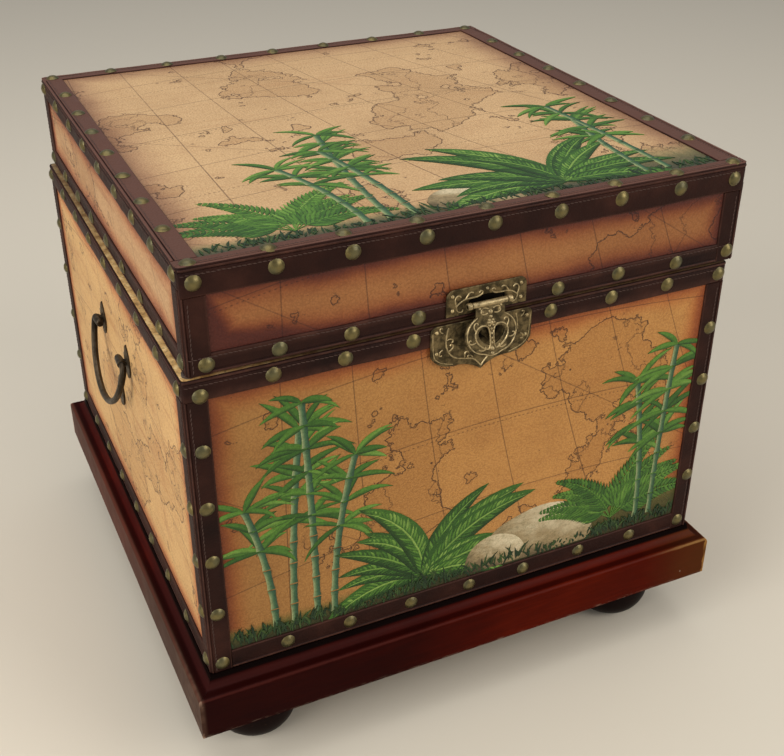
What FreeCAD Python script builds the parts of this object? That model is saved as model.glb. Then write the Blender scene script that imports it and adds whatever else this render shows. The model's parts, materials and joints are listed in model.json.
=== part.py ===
"""Square keepsake trunk: a covered wooden box with a hinged lid, on a moulded plinth with bun feet.

Millimetres, +Z up, front towards -Y. The origin lies on the floor under the middle of the plinth.
Layers from the inside out: lining, board, printed cover, strap, nail head.
"""
import FreeCAD
import Part
import Sketcher
import os
import re

Vec = FreeCAD.Vector
X_AXIS = Vec(1, 0, 0)
Y_AXIS = Vec(0, 1, 0)
Z_AXIS = Vec(0, 0, 1)

# Driving sizes: millimetres, degrees where the name ends in angle, counts where it ends in count,
# and plain ratios where it ends in share.
SIZES = {
    # box, measured over the straps
    "body_width": 375.0,
    "body_height": 219.3,
    "lid_height": 67.1,
    "lid_gap": 2.0,
    "lid_shift": 4.0,
    # layers of the walls
    "board_thickness": 9.5,
    "floor_thickness": 8.0,
    "lid_board_thickness": 8.0,
    "cover_thickness": 0.8,
    "strap_thickness": 1.2,
    "lining_thickness": 0.6,
    "rim_thickness": 0.8,
    # plinth rails and corner blocks
    "plinth_overhang": 12.5,
    "plinth_height": 42.0,
    "plinth_face_height": 33.0,
    "rail_depth": 35.0,
    "shoulder_radius": 3.0,
    "shoulder_ledge": 2.5,
    "plinth_lip": 0.8,
    "cove_depth_share": 0.36,
    "corner_block_width": 62.0,
    # bun feet
    "foot_height": 48.0,
    "foot_diameter": 62.0,
    "foot_base_diameter": 38.0,
    "foot_neck_diameter": 42.0,
    "foot_neck_height": 5.0,
    "foot_inset": 50.0,
    "foot_tenon_diameter": 20.0,
    "foot_tenon_length": 24.0,
    "glue_clearance": 0.1,
    # strap widths
    "body_top_strap": 14.1,
    "body_bottom_strap": 14.5,
    "lid_top_strap": 18.8,
    "lid_end_top_strap": 14.0,
    "lid_bottom_strap": 12.5,
    "corner_strap": 15.0,
    "top_end_strap": 15.0,
    "top_front_strap": 10.0,
    # domed nails
    "nail_head_diameter": 9.8,
    "nail_head_height": 2.6,
    "nail_shank_diameter": 1.4,
    "nail_edge_inset": 8.5,
    "row_gap_count": 8,
    "corner_gap_count": 5,
    # felt bumpers on the rim
    "bumper_diameter": 8.0,
    "bumper_clearance": 0.2,
    # butt hinges at the back
    "hinge_length": 30.0,
    "hinge_pitch_share": 2.5,
    "middle_knuckle_share": 0.3333,
    "hinge_offset": 3.4,
    "hinge_leaf_thickness": 0.8,
    "hinge_leaf_width": 12.0,
    "hinge_knuckle_diameter": 4.8,
    "hinge_pin_diameter": 2.2,
    "hinge_knuckle_gap": 0.4,
    "hinge_screw_diameter": 2.2,
    "hinge_screw_head_diameter": 4.2,
    "hinge_screw_length": 8.0,
    "hinge_screw_spacing": 18.0,
    "running_clearance": 0.05,
    # latch
    "upper_plate_width": 55.0,
    "upper_plate_height": 17.6,
    "upper_plate_radius": 5.0,
    "upper_plate_raise": 2.7,
    "latch_plate_thickness": 1.2,
    "latch_window_width": 25.0,
    "latch_window_height": 6.0,
    "latch_pin_height": 6.6,
    "latch_pin_standoff": 4.6,
    "latch_pin_diameter": 2.4,
    "latch_knuckle_diameter": 4.8,
    "latch_ear_width": 3.0,
    "latch_ear_gap": 0.3,
    "hasp_knuckle_width": 24.0,
    "hasp_neck_width": 20.0,
    "hasp_neck_length": 8.0,
    "hasp_width": 37.0,
    "hasp_length": 34.4,
    "hasp_thickness": 1.6,
    "hasp_belly_share": 0.54,
    "hasp_tip_share": 0.16,
    "hasp_shoulder_share": 0.95,
    "hasp_eye_width": 8.2,
    "hasp_eye_height": 14.0,
    "hasp_eye_spacing": 10.4,
    "hasp_eye_drop": 21.0,
    "hasp_rest_angle": 10.0,
    "shield_width": 70.0,
    "shield_height": 36.0,
    "shield_side_height": 20.5,
    "shield_corner_radius": 4.0,
    "shield_waist_share": 0.28,
    "shield_waist_drop_share": 0.82,
    "shield_shift": 1.5,
    "shield_dish_width": 44.0,
    "shield_dish_height": 22.0,
    "shield_dish_depth": 0.6,
    "catch_diameter": 7.0,
    "catch_taper_share": 0.75,
    "catch_clearance": 0.3,
    "plate_pin_head_diameter": 2.6,
    "plate_pin_head_height": 0.9,
    "plate_pin_shank_diameter": 1.0,
    "plate_pin_length": 7.0,
    "plate_pin_inset": 4.0,
    # side handles
    "handle_height": 153.5,
    "handle_post_spacing": 71.0,
    "leaf_height": 25.5,
    "leaf_width": 10.0,
    "leaf_thickness": 2.0,
    "leaf_screw_diameter": 3.4,
    "leaf_screw_length": 8.0,
    "pivot_standoff": 5.0,
    "lug_diameter": 6.2,
    "lug_nose_diameter": 5.4,
    "lug_length": 11.5,
    "lug_overhang": 2.5,
    "lug_stem_diameter": 5.0,
    "bail_wire_diameter": 4.2,
    "bail_bend_radius": 4.5,
    "bail_shoulder_clearance": 0.3,
    "bail_end_reach": 0.5,
    "bail_rest_angle": 11.4,
    "striker_drop": 42.0,
    "striker_height": 25.0,
    "striker_width": 10.0,
    "striker_thickness": 2.6,
    # how far every cutting tool runs past the piece that it cuts
    "cut_overrun": 2.0,
}

doc = FreeCAD.newDocument("SquareTrunk")
sheet = doc.addObject("Spreadsheet::Sheet", "Sizes")
for row, (size_name, size_value) in enumerate(SIZES.items(), start=1):
    sheet.set(f"A{row}", size_name)
    sheet.set(f"B{row}", str(size_value))
    sheet.setAlias(f"B{row}", size_name)
doc.recompute()


def bind(formula):
    """Turn a formula in size names into one that reads the sheet's cells."""
    return re.sub(r"[a-z_]+", lambda word: "Sizes." + word[0] if word[0] in SIZES else word[0], formula)


def mm(formula):
    """The value of a formula in size names."""
    return float(sheet.evalExpression(bind(formula)))


# Faces and levels that many pieces share, as formulas in the sizes above.
STRAP_FACE = "(body_width / 2)"
COVER_FACE = f"({STRAP_FACE} - strap_thickness)"
BOARD_FACE = f"({COVER_FACE} - cover_thickness)"
BOARD_BACK = f"({BOARD_FACE} - board_thickness)"
LINING_FACE = f"({BOARD_BACK} - lining_thickness)"
BODY_BOTTOM = "(foot_height + plinth_height)"
FLOOR_TOP = f"({BODY_BOTTOM} + floor_thickness)"
BODY_TOP = f"({BODY_BOTTOM} + body_height)"
BOARD_TOP = f"({BODY_TOP} - rim_thickness)"
LID_BOTTOM = f"({BODY_TOP} + lid_gap)"
LID_BOARD_BOTTOM = f"({LID_BOTTOM} + rim_thickness)"
LID_TOP = f"({LID_BOTTOM} + lid_height)"
LID_COVER_TOP = f"({LID_TOP} - strap_thickness)"
LID_BOARD_TOP = f"({LID_COVER_TOP} - cover_thickness)"
LID_BOARD_UNDER = f"({LID_BOARD_TOP} - lid_board_thickness)"
PLINTH_FACE = f"({STRAP_FACE} + plinth_overhang)"
RAIL_BACK = f"({PLINTH_FACE} - rail_depth)"
NAIL_LENGTH = "(nail_edge_inset - 2 * nail_shank_diameter)"
OVERRUN = "cut_overrun"

# A side piece is drawn as the front one and turned about Z to the side that it serves.
SIDES = {"front": 0, "right": 90, "back": 180, "left": 270}
nodes = []


def turned(angle):
    return FreeCAD.Placement(Vec(), FreeCAD.Rotation(Z_AXIS, angle))


def add_node(piece, name):
    """Mark a document object as a finished sub-part."""
    piece.Label = name
    nodes.append(piece)
    return piece


def shift_with_lid(piece):
    piece.setExpression("Placement.Base.x", bind("lid_shift"))
    return piece


def place(piece, x="0", y="0", z="0"):
    for axis, formula in zip("xyz", (x, y, z)):
        piece.setExpression(f"Placement.Base.{axis}", bind(formula))
    return piece


def slab(name, x, y, z):
    """A box between pairs of formulas (low, high) along each axis."""
    piece = doc.addObject("Part::Box", name)
    for side, (low, high) in zip(("Length", "Width", "Height"), (x, y, z)):
        piece.setExpression(side, bind(f"({high}) - ({low})"))
    return place(piece, x[0], y[0], z[0])


def rod(name, diameter, length, axis=Z_AXIS):
    """A cylinder that starts at its own origin and runs along an axis."""
    piece = doc.addObject("Part::Cylinder", name)
    piece.setExpression("Radius", bind(f"({diameter}) / 2"))
    piece.setExpression("Height", bind(length))
    piece.Placement = FreeCAD.Placement(Vec(), FreeCAD.Rotation(Z_AXIS, axis))
    return piece


def group(name, pieces, angle=0):
    """Separate solids kept together as one document object, turned about Z."""
    piece = doc.addObject("Part::Compound", name)
    piece.Links = pieces
    piece.Placement = turned(angle)
    return piece


def fuse(name, pieces):
    piece = doc.addObject("Part::MultiFuse", name)
    piece.Shapes = pieces
    return piece


def cut(name, base, tool):
    piece = doc.addObject("Part::Cut", name)
    piece.Base = base
    piece.Tool = tool
    return piece


def plane_of(body, role):
    return next(feature for feature in body.Origin.OriginFeatures if feature.Role == role)


def pin_point(sketch, geometry, position, x, y):
    """Hold a sketch point at two formulas, or on an axis where a formula is zero."""
    for kind, formula, axis in (("DistanceX", x, -2), ("DistanceY", y, -1)):
        if formula == "0":
            sketch.addConstraint(Sketcher.Constraint("PointOnObject", geometry, position, axis))
        else:
            index = sketch.addConstraint(
                Sketcher.Constraint(kind, -1, 1, geometry, position, mm(formula)))
            sketch.setExpression(f"Constraints[{index}]", bind(formula))


def draw(sketch, path, closed=True):
    """Draw corners joined by lines, or by an arc where a corner carries the arc's middle point."""
    ends = []
    steps = list(zip(path, path[1:])) + ([(path[-1], path[0])] if closed else [])
    for start, finish in steps:
        first, last = (Vec(mm(corner[0]), mm(corner[1]), 0) for corner in (start, finish))
        if len(finish) == 2:
            edge = sketch.addGeometry(Part.LineSegment(first, last))
            ends.append((edge, 1, 2))
            continue
        middle = Vec(mm(finish[2]), mm(finish[3]), 0)
        edge = sketch.addGeometry(Part.Arc(first, middle, last))
        starts, stops = (sketch.getPoint(edge, position).distanceToPoint(first) for position in (1, 2))
        ends.append((edge, 1, 2) if starts < stops else (edge, 2, 1))
        mark = sketch.addGeometry(Part.Point(middle), True)
        pin_point(sketch, mark, 1, finish[2], finish[3])
        sketch.addConstraint(Sketcher.Constraint("PointOnObject", mark, 1, edge))
    for (edge, _, finish), (following, start, _) in zip(ends, ends[1:] + (ends[:1] if closed else [])):
        sketch.addConstraint(Sketcher.Constraint("Coincident", edge, finish, following, start))
    for (edge, start, _), corner in zip(ends, path):
        pin_point(sketch, edge, start, corner[0], corner[1])
    if not closed:
        pin_point(sketch, ends[-1][0], ends[-1][2], path[-1][0], path[-1][1])


def sketch_in(body, role, path):
    """A closed sketch on one of a body's own origin planes."""
    sketch = body.newObject("Sketcher::SketchObject", "Outline")
    sketch.AttachmentSupport = (plane_of(body, role), [""])
    sketch.MapMode = "FlatFace"
    draw(sketch, path)
    return sketch


def pad(name, role, path, length):
    """A body padded from an outline; on XZ_Plane it grows towards -Y."""
    body = doc.addObject("PartDesign::Body", name)
    sketch = sketch_in(body, role, path)
    feature = body.newObject("PartDesign::Pad", "Pad")
    feature.Profile = sketch
    feature.setExpression("Length", bind(length))
    return body


def turning(name, path):
    """A body turned about Z from a half outline in XZ."""
    body = doc.addObject("PartDesign::Body", name)
    sketch = sketch_in(body, "XZ_Plane", path)
    feature = body.newObject("PartDesign::Revolution", "Turning")
    feature.Profile = sketch
    feature.ReferenceAxis = (sketch, ["V_Axis"])
    feature.Angle = 360
    return body


def domed_nail(name, diameter, height, shank_diameter, length):
    """A nail along Z: a dome on the plane z = 0 and a shank below it."""
    sphere_radius = f"(({diameter}) ^ 2 / 4 + ({height}) ^ 2) / (2 * ({height}))"
    dome = doc.addObject("Part::Sphere", f"{name}_dome")
    dome.setExpression("Radius", bind(sphere_radius))
    dome.setExpression("Angle1", bind(f"asin(1 - ({height}) / ({sphere_radius}))"))
    place(dome, z=f"({height}) - {sphere_radius}")
    shank = place(rod(f"{name}_shank", shank_diameter, length), z=f"-({length})")
    return fuse(name, [dome, shank])


def copies(name, original, placements):
    """One node of separate solids, each the original piece set at its own place."""
    doc.recompute()
    solids = []
    for placement in placements:
        solid = original.Shape.copy()
        solid.Placement = placement.multiply(solid.Placement)
        solids.append(solid)
    piece = doc.addObject("Part::Feature", name)
    piece.Shape = Part.makeCompound(solids)
    return piece


def facing_front(x, y, z):
    """Stand a piece drawn along +Z on the plane y, pointing to -Y."""
    return FreeCAD.Placement(Vec(x, y, z), FreeCAD.Rotation(X_AXIS, 90))


def bow(start, finish, corner, share):
    """The end corner of an arc that bows from its chord towards a corner point by a share of the way."""
    middle = [
        f"(({low} + {high}) / 2 * (1 - {share}) + ({pull}) * {share})"
        for low, high, pull in zip(start, finish, corner)
    ]
    return (*finish, *middle)


def mirrored(corner):
    """A corner of an outline on the other side of the outline's middle."""
    return (f"-{corner[0]}", corner[1])


ROUND_SHARE = "(sqrt(2) - 1)"


# Plinth: four moulded rails, mitred at the corners, with a glue block in each corner.
SHOULDER = "(foot_height + plinth_face_height)"
LEDGE = f"({PLINTH_FACE} - shoulder_radius - shoulder_ledge)"
LIP = f"({STRAP_FACE} + plinth_lip)"


def plinth_rail(name):
    face_top = (f"-{PLINTH_FACE}", f"({SHOULDER} - shoulder_radius)")
    shoulder = (f"-({PLINTH_FACE} - shoulder_radius)", SHOULDER)
    ledge = (f"-{LEDGE}", SHOULDER)
    lip = (f"-{LIP}", BODY_BOTTOM)
    profile = [
        (f"-{RAIL_BACK}", "foot_height"),
        (f"-{PLINTH_FACE}", "foot_height"),
        face_top,
        bow(face_top, shoulder, (f"-{PLINTH_FACE}", SHOULDER), ROUND_SHARE),
        ledge,
        bow(ledge, lip, (f"-{LIP}", SHOULDER), "cove_depth_share"),
        (f"-{RAIL_BACK}", BODY_BOTTOM),
    ]
    body = doc.addObject("PartDesign::Body", name)
    section = sketch_in(body, "YZ_Plane", profile)
    section.setExpression("AttachmentOffset.Base.z", bind(f"-{PLINTH_FACE}"))
    rail = body.newObject("PartDesign::Pad", "Rail")
    rail.Profile = section
    rail.setExpression("Length", bind(f"2 * {PLINTH_FACE}"))
    far = f"({PLINTH_FACE} + {OVERRUN})"
    near = f"({RAIL_BACK} - {OVERRUN})"
    right_end = [(far, f"-{far}"), (near, f"-{near}"), (far, f"-{near}")]
    ends = sketch_in(body, "XY_Plane", right_end)
    draw(ends, [mirrored(corner) for corner in right_end])
    mitres = body.newObject("PartDesign::Pocket", "Mitres")
    mitres.Profile = ends
    mitres.Type = "ThroughAll"
    mitres.Reversed = True
    return body


for side, angle in SIDES.items():
    plinth_piece = plinth_rail(f"plinth_rail_{side}")
    plinth_piece.Placement = turned(angle)
    add_node(plinth_piece, f"plinth_rail_{side}")

FOOT_PLACE = f"({PLINTH_FACE} - foot_inset)"
block_span = (f"{RAIL_BACK} - corner_block_width", RAIL_BACK)


def corner_block(name, angle):
    """A glue block bored for the tenon of its foot."""
    stock = slab(f"{name}_stock", block_span, block_span, ("foot_height", BODY_BOTTOM))
    bore = rod(f"{name}_bore", "foot_tenon_diameter + 2 * glue_clearance",
               f"foot_tenon_length + glue_clearance + {OVERRUN}")
    place(bore, FOOT_PLACE, FOOT_PLACE, f"foot_height - {OVERRUN}")
    return group(name, [cut(f"{name}_bored", stock, bore)], angle)


corner_blocks = [corner_block(f"block_{side}", angle) for side, angle in SIDES.items()]
add_node(group("corner_blocks", corner_blocks), "plinth_corner_blocks")


# Feet: turned buns with a tenon that is glued up into the corner block.
FOOT_SWELL = "(foot_height - foot_neck_height)"
FOOT_CORNERS = {
    "front_left": (-1, -1),
    "front_right": (1, -1),
    "back_left": (-1, 1),
    "back_right": (1, 1),
}
foot_outline = [
    ("0", "0"),
    ("foot_base_diameter / 2", "0"),
    ("foot_neck_diameter / 2", FOOT_SWELL, "foot_diameter / 2", f"{FOOT_SWELL} / 2"),
    ("foot_neck_diameter / 2", "foot_height"),
    ("foot_tenon_diameter / 2", "foot_height"),
    ("foot_tenon_diameter / 2", "foot_height + foot_tenon_length"),
    ("0", "foot_height + foot_tenon_length"),
]
for corner, (x_side, y_side) in FOOT_CORNERS.items():
    foot = turning(f"foot_{corner}", foot_outline)
    add_node(place(foot, f"{x_side} * {FOOT_PLACE}", f"{y_side} * {FOOT_PLACE}"), f"foot_{corner}")


# Boards: each wall laps the end of the next, and the floor rests on the plinth between them.
def lapped(outer, inner):
    return (f"-{outer}", inner)


def wall(name, outer, inner, z, angle):
    """A flat wall piece between two faces, which laps its neighbour's end at one side."""
    stock = slab(f"{name}_stock", lapped(outer, inner), (f"-{outer}", f"-{inner}"), z)
    return add_node(group(f"{name}_wall", [stock], angle), name)


def strap_frame(name, angle, bottom, top, top_width, bottom_width):
    """Four flat straps along the edges of one side."""
    y = (f"-{STRAP_FACE}", f"-{COVER_FACE}")
    below = f"({top} - {top_width})"
    inner = f"({STRAP_FACE} - corner_strap)"
    strips = [
        slab(f"{name}_top_strip", lapped(STRAP_FACE, COVER_FACE), y, (below, top)),
        slab(f"{name}_left_strip", (f"-{STRAP_FACE}", f"-{inner}"), y, (bottom, below)),
        slab(f"{name}_right_strip", (inner, COVER_FACE), y, (bottom, below)),
        slab(f"{name}_bottom_strip", (f"-{inner}", inner), y, (bottom, f"{bottom} + {bottom_width}")),
    ]
    return add_node(group(f"{name}_strips", strips, angle), name)


def square_ring(name, outer, inner, z):
    hole = slab(f"{name}_hole", (f"-{inner}", inner), (f"-{inner}", inner),
                (f"{z[0]} - {OVERRUN}", f"{z[1]} + {OVERRUN}"))
    return cut(f"{name}_ring", slab(f"{name}_sheet", (f"-{outer}", outer), (f"-{outer}", outer), z), hole)


def square_slab(name, half, z):
    return slab(f"{name}_stock", (f"-{half}", half), (f"-{half}", half), z)


for side, angle in SIDES.items():
    wall(f"body_board_{side}", BOARD_FACE, BOARD_BACK, (BODY_BOTTOM, BOARD_TOP), angle)
    wall(f"body_cover_{side}", COVER_FACE, BOARD_FACE, (BODY_BOTTOM, BOARD_TOP), angle)
    strap_frame(f"body_straps_{side}", angle, BODY_BOTTOM, BODY_TOP, "body_top_strap", "body_bottom_strap")
add_node(square_slab("body_floor", BOARD_BACK, (BODY_BOTTOM, FLOOR_TOP)), "body_floor_board")
add_node(square_ring("body_rim", COVER_FACE, LINING_FACE, (BOARD_TOP, BODY_TOP)), "body_rim_cover")

lining_hollow = square_slab("body_hollow", LINING_FACE,
                            (f"{FLOOR_TOP} + lining_thickness", f"{BOARD_TOP} + {OVERRUN}"))
lining_block = square_slab("body_lining", BOARD_BACK, (FLOOR_TOP, BOARD_TOP))
add_node(cut("body_lining_shell", lining_block, lining_hollow), "body_lining")

bumper_place = f"(({BOARD_FACE} + {BOARD_BACK}) / 2)"
bumpers = [
    place(rod(f"bumper_{name}", "bumper_diameter", "lid_gap - bumper_clearance"),
          f"{x_side} * {bumper_place}", f"-{bumper_place}", BODY_TOP)
    for name, x_side in (("left", -1), ("right", 1))
]
add_node(group("bumpers", bumpers), "rim_bumpers")


# Lid: the same walls and straps under a top board, all set a little to the right of the body.
lid_walls = (LID_BOARD_BOTTOM, LID_BOARD_UNDER)
lid_faces = (LID_BOARD_BOTTOM, LID_BOARD_TOP)
LID_TOP_STRAPS = {"front": "lid_top_strap", "right": "lid_end_top_strap",
                  "back": "lid_top_strap", "left": "lid_end_top_strap"}
for side, angle in SIDES.items():
    shift_with_lid(wall(f"lid_board_{side}", BOARD_FACE, BOARD_BACK, lid_walls, angle))
    shift_with_lid(wall(f"lid_cover_{side}", COVER_FACE, BOARD_FACE, lid_faces, angle))
    shift_with_lid(strap_frame(
        f"lid_straps_{side}", angle, LID_BOTTOM, LID_COVER_TOP,
        f"({LID_TOP_STRAPS[side]} - strap_thickness)", "lid_bottom_strap"))
lid_pieces = {
    "lid_board_top": square_slab("lid_top_panel", BOARD_FACE, (LID_BOARD_UNDER, LID_BOARD_TOP)),
    "lid_cover_top": square_slab("lid_top_sheet", COVER_FACE, (LID_BOARD_TOP, LID_COVER_TOP)),
    "lid_rim_cover": square_ring("lid_rim", COVER_FACE, LINING_FACE, (LID_BOTTOM, LID_BOARD_BOTTOM)),
    "lid_lining": cut(
        "lid_lining_shell",
        square_slab("lid_lining", BOARD_BACK, lid_walls),
        square_slab("lid_hollow", LINING_FACE,
                    (f"{LID_BOARD_BOTTOM} - {OVERRUN}", f"{LID_BOARD_UNDER} - lining_thickness"))),
}
for name, piece in lid_pieces.items():
    add_node(group(f"{name}_set", [piece]), name)
    shift_with_lid(nodes[-1])

top_level = (LID_COVER_TOP, LID_TOP)
front_inner = f"({STRAP_FACE} - top_front_strap)"
end_inner = f"({STRAP_FACE} - top_end_strap)"
full_span = (f"-{STRAP_FACE}", STRAP_FACE)
between_span = (f"-{front_inner}", front_inner)
top_strips = [
    slab("top_front_strip", full_span, (f"-{STRAP_FACE}", f"-{front_inner}"), top_level),
    slab("top_back_strip", full_span, (front_inner, STRAP_FACE), top_level),
    slab("top_left_strip", (f"-{STRAP_FACE}", f"-{end_inner}"), between_span, top_level),
    slab("top_right_strip", (end_inner, STRAP_FACE), between_span, top_level),
]
shift_with_lid(add_node(group("top_strips", top_strips), "lid_straps_top"))


# Nails: driven through strap and cover into the board, in rows with the same count on every side.
nail = domed_nail("nail", "nail_head_diameter", "nail_head_height", "nail_shank_diameter", NAIL_LENGTH)
row_gaps = round(mm("row_gap_count"))
corner_gaps = round(mm("corner_gap_count"))
nail_reach = mm(f"{STRAP_FACE} - nail_edge_inset")
row_places = [nail_reach * (2 * step / row_gaps - 1) for step in range(row_gaps + 1)]
lid_offset = FreeCAD.Placement(Vec(mm("lid_shift"), 0, 0), FreeCAD.Rotation())


def side_nail(angle, x, z):
    return turned(angle).multiply(facing_front(x, -mm(STRAP_FACE), z))


def nail_row(side, z, latch_row=False):
    """One row across a side; on the front the latch takes the place of the middle nail."""
    skip = row_gaps / 2 if latch_row and side == "front" else None
    return [side_nail(SIDES[side], x, z) for step, x in enumerate(row_places) if step != skip]


body_nail_places = []
lid_nail_places = []
for side, angle in SIDES.items():
    high = mm(f"{BODY_TOP} - body_top_strap / 2")
    low = mm(f"{BODY_BOTTOM} + body_bottom_strap / 2")
    body_nail_places += nail_row(side, high, latch_row=True) + nail_row(side, low)
    for step in range(1, corner_gaps):
        level = low + (high - low) * step / corner_gaps
        body_nail_places += [side_nail(angle, x, level) for x in (-nail_reach, nail_reach)]
    lid_nail_places += nail_row(side, mm(f"{LID_TOP} - {LID_TOP_STRAPS[side]} / 2"))
    lid_nail_places += nail_row(side, mm(f"{LID_BOTTOM} + lid_bottom_strap / 2"), latch_row=True)
front_line = mm(f"{STRAP_FACE} - top_front_strap / 2")
end_line = mm(f"{STRAP_FACE} - top_end_strap / 2")
top_points = [(x, y) for x in row_places for y in (-front_line, front_line)]
top_points += [(x, y) for y in row_places[1:-1] for x in (-end_line, end_line)]
lid_nail_places += [FreeCAD.Placement(Vec(x, y, mm(LID_TOP)), FreeCAD.Rotation()) for x, y in top_points]
lid_nail_places = [lid_offset.multiply(spot) for spot in lid_nail_places]
add_node(copies("body_nail_set", nail, body_nail_places), "body_nails")
add_node(copies("lid_nail_set", nail, lid_nail_places), "lid_nails")


# Hinges: two butt hinges whose leaves lie in the gap, with their knuckles behind the back straps.
HINGE_Y = f"({STRAP_FACE} + hinge_offset)"
HINGE_Z = f"({BODY_TOP} + lid_gap / 2)"
LEAF_END = f"({HINGE_Y} - hinge_knuckle_diameter / 2 - hinge_knuckle_gap)"
NAIL_PITCH = f"(2 * ({STRAP_FACE} - nail_edge_inset) / row_gap_count)"
HINGE_REACH = f"({NAIL_PITCH} * hinge_pitch_share)"
HINGE_CENTRES = {"left": f"(lid_shift / 2 - {HINGE_REACH})", "right": f"(lid_shift / 2 + {HINGE_REACH})"}
KNUCKLE_INNER = "(hinge_length * middle_knuckle_share / 2 - hinge_knuckle_gap / 2)"
KNUCKLE_OUTER = "(hinge_length * middle_knuckle_share / 2 + hinge_knuckle_gap / 2)"
MIDDLE_KNUCKLE = [(f"-{KNUCKLE_INNER}", KNUCKLE_INNER)]
OUTER_KNUCKLES = [("-hinge_length / 2", f"-{KNUCKLE_OUTER}"), (KNUCKLE_OUTER, "hinge_length / 2")]


def hinge_leaf(name, centre, z, knuckles):
    """A flat leaf with rolled knuckles along the hinge axis."""
    half = "hinge_length / 2"
    pieces = [slab(f"{name}_plate", (f"{centre} - {half}", f"{centre} + {half}"),
                   (f"{LEAF_END} - hinge_leaf_width", LEAF_END), z)]
    for number, (low, high) in enumerate(knuckles):
        span = (f"{centre} + {low}", f"{centre} + {high}")
        pieces.append(slab(f"{name}_web_{number}", span, (LEAF_END, HINGE_Y), z))
        barrel = rod(f"{name}_barrel_{number}", "hinge_knuckle_diameter", f"({high}) - ({low})", X_AXIS)
        pieces.append(place(barrel, span[0], HINGE_Y, HINGE_Z))
    return fuse(name, pieces)


def hinge_rod(name, centre, diameter, overrun):
    length = f"hinge_length + 2 * {overrun}"
    return place(rod(name, diameter, length, X_AXIS), f"{centre} - ({length}) / 2", HINGE_Y, HINGE_Z)


screw_cone = doc.addObject("Part::Cone", "hinge_screw_cone")
screw_cone.setExpression("Radius1", bind("hinge_screw_diameter / 2"))
screw_cone.setExpression("Radius2", bind("hinge_screw_head_diameter / 2"))
screw_cone.setExpression("Height", bind("hinge_leaf_thickness"))
place(screw_cone, z="-hinge_leaf_thickness")
screw_shank = rod("hinge_screw_shank", "hinge_screw_diameter", "hinge_screw_length - hinge_leaf_thickness")
hinge_screw = fuse("hinge_screw", [screw_cone, place(screw_shank, z="-hinge_screw_length")])
screw_points = [
    (mm(f"{centre} + {end} * hinge_screw_spacing / 2"), mm(f"({BOARD_FACE} + {BOARD_BACK}) / 2"))
    for centre in HINGE_CENTRES.values() for end in (-1, 1)
]
UPSIDE_DOWN = FreeCAD.Rotation(X_AXIS, 180)
BODY_LEAF = (BODY_TOP, f"{BODY_TOP} + hinge_leaf_thickness")
LID_LEAF = (f"{LID_BOTTOM} - hinge_leaf_thickness", LID_BOTTOM)
RUNNING_BORE = "hinge_pin_diameter + 2 * running_clearance"
HINGE_SETS = {
    "body": (BODY_LEAF, OUTER_KNUCKLES, BODY_LEAF[1], FreeCAD.Rotation(), "hinge_pin_diameter"),
    "lid": (LID_LEAF, MIDDLE_KNUCKLE, LID_LEAF[0], UPSIDE_DOWN, RUNNING_BORE),
}
for owner, (leaf_span, knuckles, screw_level, screw_turn, bore) in HINGE_SETS.items():
    screw_places = [FreeCAD.Placement(Vec(x, y, mm(screw_level)), screw_turn) for x, y in screw_points]
    screws = copies(f"hinge_{owner}_screw_set", hinge_screw, screw_places)
    add_node(screws, f"hinge_{owner}_screws")
    leaves = []
    holes = [screws]
    for end, centre in HINGE_CENTRES.items():
        leaves.append(hinge_leaf(f"{owner}_leaf_{end}", centre, leaf_span, knuckles))
        holes.append(hinge_rod(f"{owner}_bore_{end}", centre, bore, OVERRUN))
    leaf_pair = group(f"{owner}_leaves", leaves)
    leaf_holes = fuse(f"{owner}_leaf_holes", holes)
    add_node(cut(f"hinge_{owner}_leaf_set", leaf_pair, leaf_holes), f"hinge_{owner}_leaves")
pins = [
    hinge_rod(f"hinge_pin_{end}", centre, "hinge_pin_diameter", "0")
    for end, centre in HINGE_CENTRES.items()
]
add_node(group("hinge_pin_set", pins), "hinge_pins")


# Latch: a plate with two ears on the lid carries a pin, and the hasp hangs from it over the shield plate.
LATCH_PIN_Y = f"({STRAP_FACE} + latch_pin_standoff)"
UPPER_PLATE_FOOT = f"({LID_BOTTOM} + upper_plate_raise)"
LATCH_PIN_Z = f"({UPPER_PLATE_FOOT} + latch_pin_height)"
EAR_INNER = "(hasp_knuckle_width / 2 + latch_ear_gap)"
EAR_OUTER = f"({EAR_INNER} + latch_ear_width)"
half_plate = "(upper_plate_width / 2)"
plate_side = "(upper_plate_height - upper_plate_radius)"
plate_shoulder = f"({half_plate} - upper_plate_radius)"
plate_top = "upper_plate_height"
right_corner = ((half_plate, plate_side), (plate_shoulder, plate_top), (half_plate, plate_top))
left_corner = [mirrored(corner) for corner in right_corner]
upper_outline = [
    (f"-{half_plate}", "0"),
    (half_plate, "0"),
    right_corner[0],
    bow(*right_corner, ROUND_SHARE),
    left_corner[1],
    bow(left_corner[1], left_corner[0], left_corner[2], ROUND_SHARE),
]
latch_plate = place(pad("upper_plate_sheet", "XZ_Plane", upper_outline, "latch_plate_thickness"),
                    "lid_shift", f"-{STRAP_FACE}", UPPER_PLATE_FOOT)
ear_depth = (f"-{LATCH_PIN_Y}", f"-({STRAP_FACE} + latch_plate_thickness / 2)")
ear_rise = (f"{LATCH_PIN_Z} - latch_knuckle_diameter / 2", f"{LATCH_PIN_Z} + latch_knuckle_diameter / 2")
ear_pieces = []
for end, x_side in (("left", -1), ("right", 1)):
    centre = f"lid_shift + {x_side} * ({EAR_INNER} + {EAR_OUTER}) / 2"
    span = (f"{centre} - latch_ear_width / 2", f"{centre} + latch_ear_width / 2")
    ear_pieces.append(slab(f"ear_{end}_web", span, ear_depth, ear_rise))
    ear = rod(f"ear_{end}_eye", "latch_knuckle_diameter", "latch_ear_width", X_AXIS)
    ear_pieces.append(place(ear, span[0], f"-{LATCH_PIN_Y}", LATCH_PIN_Z))
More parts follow.
